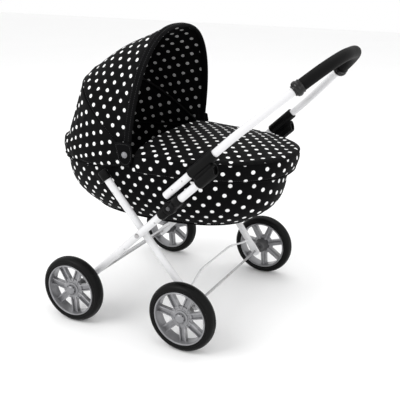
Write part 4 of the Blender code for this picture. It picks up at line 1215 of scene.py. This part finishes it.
drape(apron, apron_loose, pressure=1.4, weight=0.2, cap=0.0045, frames=12)
for vertex in apron.data.vertices:
    x, y = vertex.co.x, vertex.co.y
    vertex.co.z += 0.0006 * math.sin(x * 61 + y * 37) * apron_loose(vertex.index)
apron_skin = [v.co.copy() for v in apron.data.vertices]
give_wall(apron, 0.0024)
settle(apron, "chassis", "black_fabric", "apron")
print("apron flat", [round(v, 4) for v in APRON_FLAT])

# %% Trims of the apron
seam = apron_skin[SEAM_ROW * WIDE:(SEAM_ROW + 1) * WIDE]
cord("apron_piping", seam, 0.0013, TAPE, "chassis", "black_fabric")
hem = [p + Vector((0, 0, 0.0002)) for p in apron_skin[:WIDE]]
cord("apron_hem_binding", hem, 0.0018, TAPE, "chassis", "black_fabric")
sewn = [p + (p - Vector((COT_X, 0, p.z))).normalized() * 0.0002
        for p in apron_skin[WIDE:2 * WIDE]]
stitches("apron_hem_stitches", sewn, "chassis")
for side, name in SIDES:
    column = min(range(WIDE), key=lambda j: abs(rows[4][j].x - 0.0060)
                 + (1 if rows[4][j].y * side < 0 else 0))
    upright = [apron_skin[i * WIDE + column] + Vector((0, side * 0.0001, 0))
               for i in range(SEAM_ROW + 1)]
    cord(f"apron_upright_seam_{name}", upright, 0.0008, TAPE, "chassis", "black_fabric", sides=8)
print("apron trimmed")

# %% [markdown]
# ## Hood
# The hood is one dotted skin over two bows, from the cot's back rim to the front bow. The rear bow
# divides it into two sheets. Behind, the skin runs down over the rim as a hem. A wide binding closes
# the mouth, and a rounded tab with a snap covers the hinge on each side. The outline of every arch is
# one power curve whose height and width change with the angle, so one function places the sheets,
# bows, binding and stitches.

# %% The arch
HINGE = JOINT["hood_fold"]
FRONT_ANGLE, REAR_ANGLE, END_ANGLE = 83.0, 142.0, 178.5
HOOD_ANGLES = [80.0, 84.0, 92.0, 102.0, 121.0, 142.6, 164.0, 178.5]
HOOD_HEIGHTS = [0.2185, 0.2165, 0.2080, 0.2015, 0.1955, 0.1925, 0.1905, 0.1965]
HOOD_WIDTHS = [0.1462, 0.1460, 0.1455, 0.1448, 0.1432, 0.1415, 0.1405, 0.1400]
ACROSS = even_angles(2.5, 0.145, 0.20, math.radians(1.1), math.radians(178.9), 110)


def arch(angle, across, grow_by=0.0):
    y, up = power_curve(across, 2.5)
    height = float(np.interp(angle, HOOD_ANGLES, HOOD_HEIGHTS)) + grow_by
    width = float(np.interp(angle, HOOD_ANGLES, HOOD_WIDTHS)) + grow_by
    spin = math.radians(angle)
    return HINGE + Vector((height * up * math.cos(spin), width * y, height * up * math.sin(spin)))


def pucker(angle, k, deep):
    """Soft folds that run from the hinge to the crown."""
    return deep * (0.6 * math.sin(k * 0.21 + angle * 0.09)
                   + 0.4 * math.sin(k * 0.47 - angle * 0.05))


print("front bow reaches", round(arch(FRONT_ANGLE, math.pi / 2).z, 4), "m")

# %% The front sheet, from the rear bow to the mouth
STEPS = 24
rows = []
for i in range(STEPS + 1):
    share = i / STEPS
    angle = REAR_ANGLE + (FRONT_ANGLE - REAR_ANGLE) * share
    sag = -0.0035 * math.sin(math.pi * share)
    rows.append([arch(angle, a, sag + pucker(angle, k, 0.0007) * math.sin(math.pi * share))
                 for k, a in enumerate(ACROSS)])
hood_front = grid("hood_front_cover", rows, [DOTTED, DOTTED_BACK_PAINTED_SHADE])
face_out(hood_front, HINGE)
OVER = len(ACROSS)
LEVEL = max(range(OVER // 2, OVER), key=lambda k: -abs(rows[12][k].z - 0.43))
LEVEL_BACK = min(range(OVER // 2, OVER), key=lambda k: abs(rows[6][k].z - rows[18][LEVEL].z))
FRONT_FLAT = lay_flat(hood_front, lambda a, b: False, (6 * OVER + LEVEL_BACK, 18 * OVER + LEVEL))


def bound(index, count):
    row, column = divmod(index, OVER)
    return (math.sin(math.pi * row / count) ** 0.5
            * min(1.0, min(column, OVER - 1 - column) / 6))


drape(hood_front, lambda n: bound(n, STEPS), pressure=-0.25, weight=0.6, cap=0.004)
give_wall(hood_front, 0.0012)
turn = math.radians((REAR_ANGLE + FRONT_ANGLE) / 2 - 90)
reach = Vector((math.cos(turn), 0, math.sin(turn))) * 0.085
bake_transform(hood_front)
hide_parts("hood_middle_panel", "hood_front_panel")
print("front sheet flat", [round(v, 4) for v in FRONT_FLAT])

# %% The back sheet, from the rear bow down over the rim
rows = []
for i in range(15):
    share = i / 14
    angle = REAR_ANGLE + (END_ANGLE - REAR_ANGLE) * share
    rows.append([arch(angle, a, (pucker(angle, k, 0.0009) - 0.002) * math.sin(math.pi * share))
                 for k, a in enumerate(ACROSS)])
BACK_ANGLES = even_angles(PLAN, COT_LENGTH, COT_WIDTH, math.radians(5.4), math.radians(174.6),
                          110)


def rim_ring(z, out, foot_rise=0.0):
    ring = []
    for k, a in enumerate(BACK_ANGLES):
        y, x = power_curve(a)
        end = min(k, OVER - 1 - k) / 14
        lift = foot_rise * max(0.0, 1 - end) ** 2
        wave = 0.0010 * math.sin(k * 0.9) * (1 if z < 0.32 else 0.3)
        ring.append(Vector((COT_X - (COT_LENGTH + out + wave) * x, (COT_WIDTH + out + wave) * y,
                            z + lift)))
    return ring


last = rows[-1]
edge = rim_ring(0.3300, 0.0040)
rows.append([a.lerp(b, 0.55) for a, b in zip(last, edge)])
HEM = ((0.3240, 0.0048, 0.0), (0.3170, 0.0050, 0.0), (0.3100, 0.0044, 0.004),
       (0.3030, 0.0034, 0.009), (0.2975, 0.0022, 0.014))
rows += [edge] + [rim_ring(*stop) for stop in HEM]
hood_back = grid("hood_back_cover", rows, [DOTTED, DOTTED_BACK_PAINTED_SHADE])
face_out(hood_back, HINGE)
BACK_FLAT = lay_flat(hood_back, lambda a, b: False, (12 * OVER + 48, 12 * OVER + 62))
drape(hood_back, lambda n: bound(n, 14) if n < 14 * OVER else 0.0, pressure=-0.2, weight=0.5,
      cap=0.004)
back_skin = [v.co.copy() for v in hood_back.data.vertices]
give_wall(hood_back, 0.0012)
turn = math.radians((REAR_ANGLE + END_ANGLE) / 2 - 90)
reach = Vector((math.cos(turn), 0, math.sin(turn))) * 0.055
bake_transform(hood_back)
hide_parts("hood_back_panel")
print("back sheet flat", [round(v, 4) for v in BACK_FLAT])

# %% Bows, binding and seams
cord("hood_rear_hoop", [arch(REAR_ANGLE, a, -0.0040) for a in ACROSS], 0.0022, BLACK, "hood_rear",
     "black_plastic", stands_for=("hood_rear_bow",))
cord("hood_rear_piping", [arch(REAR_ANGLE, a, 0.0006) for a in ACROSS], 0.0015, TAPE, "hood_rear",
     "black_fabric")
stitches("hood_rear_stitches", [arch(REAR_ANGLE - 2.0, a, 0.0002) for a in ACROSS], "hood_rear")
hem = back_skin[-OVER:]
cord("hood_hem_binding", hem, 0.0019, TAPE, "chassis", "black_fabric")
sewn = [p + (p - Vector((COT_X, 0, p.z))).normalized() * 0.0003
        for p in back_skin[-2 * OVER:-OVER]]
stitches("hood_hem_stitches", sewn, "chassis")


def strap(path_at, half_wide, half_thick):
    """A soft flat band; path_at gives a point, an outward and a sideways direction."""
    rings = []
    for a in ACROSS:
        point, out, wide = path_at(a)
        ring = []
        for c, s in circle(20):
            ring.append(point + wide * (signed_power(c, 0.6) * half_wide)
                        + out * (signed_power(s, 0.8) * half_thick))
        rings.append(ring)
    return loft(rings)


def mouth(a):
    point = arch(FRONT_ANGLE, a, -0.0006)
    spin = math.radians(FRONT_ANGLE)
    wide = Vector((-math.sin(spin), 0, math.cos(spin)))
    ahead = arch(FRONT_ANGLE, a + 0.01) - arch(FRONT_ANGLE, a - 0.01)
    out = ahead.cross(wide).normalized()
    if out.dot(point - HINGE) < 0:
        out = -out
    return point, out, wide


binding = piece("hood_binding", [strap(mouth, 0.0076, 0.0031)], [TAPE], 60)
settle(binding, "hood_front", "black_fabric", "hood_front_bow")
for number, shift in (("a", 0.0048), ("b", -0.0030)):
    path = [mouth(a)[0] + mouth(a)[1] * 0.0030 + mouth(a)[2] * shift for a in ACROSS]
    stitches(f"hood_binding_stitches_{number}", path, "hood_front")
print("hood trimmed")

# %% Tabs and snaps over the hinges
for side, name in SIDES:
    outline = []
    for k in range(25):
        a = math.pi + math.pi * k / 24
        outline.append((0.0150 * math.cos(a), -0.0040 + 0.0170 * math.sin(a)))
    outline += [(0.0150, 0.0080), (0.0125, 0.0200), (0.0040, 0.0225), (-0.0120, 0.0225),
                (-0.0215, 0.0195), (-0.0180, 0.0080)]
    rings = []
    for shrink, y in ((0.93, 0.1490), (1.0, 0.1496), (1.0, 0.1510), (0.94, 0.1519), (0.6, 0.1522)):
        rings.append([Vector((HINGE.x + x * shrink, side * y, HINGE.z + z * shrink))
                      for x, z in outline])
    tab = piece(f"hood_tab_{name}", [loft(rings)], [TAPE], 60)
    settle(tab, "chassis", "black_fabric")
    sewn = [Vector((HINGE.x + x * 0.84, side * 0.1521, HINGE.z + z * 0.84)) for x, z in outline]
    stitches(f"hood_tab_stitches_{name}", sewn, "chassis", closed=True, pitch=0.0036)
    snap = [(0.0, 0.0034), (0.0022, 0.0032), (0.0036, 0.0024), (0.0042, 0.0014), (0.0056, 0.0012),
            (0.0060, 0.0004), (0.0060, 0.0), (0.0, 0.0)]
    centre = Vector((HINGE.x, side * 0.1519, HINGE.z))
    settle(piece(f"tab_snap_{name}", [turned(snap + snap[:1], centre, side, 32)], [GREY]),
           "chassis", "steel", f"hood_rivet_{name}")
print("tabs and snaps")

# %% [markdown]
# ## Mattress and the parts that stay as they are
# The mattress is a closed pad that is blown up a little by pressure, with its edge seam pinned. The
# small moulded parts already have their right shapes, so they only get a finish.

# %% The mattress
PAD_LOW, PAD_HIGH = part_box("mattress")
pad_x = (PAD_LOW.x + PAD_HIGH.x) / 2
length, width = (PAD_HIGH.x - PAD_LOW.x) / 2, PAD_HIGH.y
middle = (PAD_LOW.z + PAD_HIGH.z) / 2
half = (PAD_HIGH.z - PAD_LOW.z) / 2 - 0.0008
PAD_ANGLES = even_angles(PLAN, length, width, 0.0, 2 * math.pi, 96)[:-1]
rows = []
for i in range(25):
    t = -1 + 2 * i / 24
    scale = (1 - abs(t) ** 3.2) ** (1 / 3.2) * 0.985 if abs(t) < 1 else 0.0
    lift = math.copysign(min(1.0, (abs(t) * 1.15)) ** 0.5, t)
    scale = max(scale, 0.004)
    rows.append([Vector((pad_x + power_curve(a)[0] * length * scale,
                         power_curve(a)[1] * width * scale, middle + half * lift))
                 for a in PAD_ANGLES])
pad = grid("mattress_pad", rows, [DOTTED], closed=True)
face_out(pad, Vector((pad_x, 0, middle)))
ROUND_PAD = len(PAD_ANGLES)
belt = {12 * ROUND_PAD + j for j in range(ROUND_PAD)}
lay_flat(pad, lambda a, b: a in belt and b in belt, (20 * ROUND_PAD, 16 * ROUND_PAD),
         (4 * ROUND_PAD, 8 * ROUND_PAD))
drape(pad, lambda n: abs(n // ROUND_PAD - 12) / 12 if n // ROUND_PAD > 6 else 0.0, pressure=1.0,
      cap=0.003, frames=10)
work = bmesh.new()
work.from_mesh(pad.data)
bmesh.ops.holes_fill(work, edges=[e for e in work.edges if e.is_boundary], sides=0)
work.to_mesh(pad.data)
work.free()
pad.data.shade_smooth()
settle(pad, "chassis", "lining", "mattress")
cord("mattress_piping", rows[12], 0.0011, TAPE, "chassis", "lining", closed=True)
print("mattress", round(length * 2, 3), "x", round(width * 2, 3), "m")


# %% Finishes for the parts that stay
def dress(node, look):
    NODES[node].data.materials.clear()
    NODES[node].data.materials.append(look)


for side, name in SIDES:
    for part in ("cot_support", "frame_rest", "hood_bracket", "pivot_washer"):
        dress(f"{part}_{name}", BLACK)
    for part in ("pivot_bolt", "pivot_nut"):
        dress(f"{part}_{name}", STEEL)
for end in ("front", "rear"):
    dress(f"{end}_axle", STEEL)
dress("base_board", BOARD)
print("dressed the parts that stay")

# %% [markdown]
# ## Floor, light and camera
# A plain pale floor and a pale world give the even light of a studio. One large soft lamp from the
# upper left, a weaker one from the right and one from above shape the black cloth.

# %% Floor and light
floor_mesh = bpy.data.meshes.new("floor")
floor_mesh.from_pydata([(-6, -6, 0), (6, -6, 0), (6, 6, 0), (-6, 6, 0)], [], [(0, 1, 2, 3)])
floor = add_object("floor", floor_mesh)
look, tree, shader = surface("pale floor", Roughness=0.6, Specular_IOR_Level=0.2)
grain = shared(tree, GRAIN, Scale=60.0, Blotch=2.0)
tree.links.new(mix(tree, grain.outputs["Tone"], (0.93, 0.93, 0.93, 1), (0.95, 0.95, 0.95, 1)),
               shader.inputs["Base Color"])
floor_mesh.materials.append(look)

world = bpy.data.worlds.new("studio")
bpy.context.scene.world = world
bpy.context.scene.view_settings.view_transform = "Standard"
world.use_nodes = True
world.node_tree.nodes["Background"].inputs[0].default_value = (1.0, 1.0, 1.0, 1)
world.node_tree.nodes["Background"].inputs[1].default_value = 1.0


def lamp(name, place_at, aim, size, power):
    data = bpy.data.lights.new(name, "AREA")
    data.size = size
    data.energy = power
    made = add_object(name, data)
    made.location = place_at
    made.rotation_euler = (Vector(aim) - Vector(place_at)).to_track_quat("-Z", "Y").to_euler()


lamp("key", (-1.1, -1.9, 2.1), (0, 0, 0.25), 1.6, 30)
lamp("fill", (2.4, -1.2, 1.4), (0, 0, 0.25), 1.8, 8)
lamp("top", (0.2, 0.6, 2.6), (0, 0, 0.2), 2.0, 14)
print("floor and three lamps")

# %% Camera
camera = add_object("camera", bpy.data.cameras.new("camera"))
CAMERA_AT = (0.583625, -1.14263, 0.66114)
SENSOR, LENS = 36.0, 62.045
AZIMUTH, ELEVATION, ROLL = (math.radians(a) for a in (27.146, 19.149, 0.473))
right = Vector((math.cos(AZIMUTH), math.sin(AZIMUTH), 0))
back = Vector((math.sin(AZIMUTH) * math.cos(ELEVATION), -math.cos(AZIMUTH) * math.cos(ELEVATION),
               math.sin(ELEVATION)))
up = back.cross(right)
rolled_right = right * math.cos(ROLL) + up * math.sin(ROLL)
rolled_up = up * math.cos(ROLL) - right * math.sin(ROLL)
camera.matrix_world = Matrix.Translation(CAMERA_AT) @ Matrix(
    (rolled_right, rolled_up, back)).transposed().to_4x4()
camera.data.sensor_width = SENSOR
camera.data.lens = LENS
bpy.context.scene.camera = camera
print("camera at", [round(v, 3) for v in camera.matrix_world.translation])

# %% End of the scene
print("scene built")
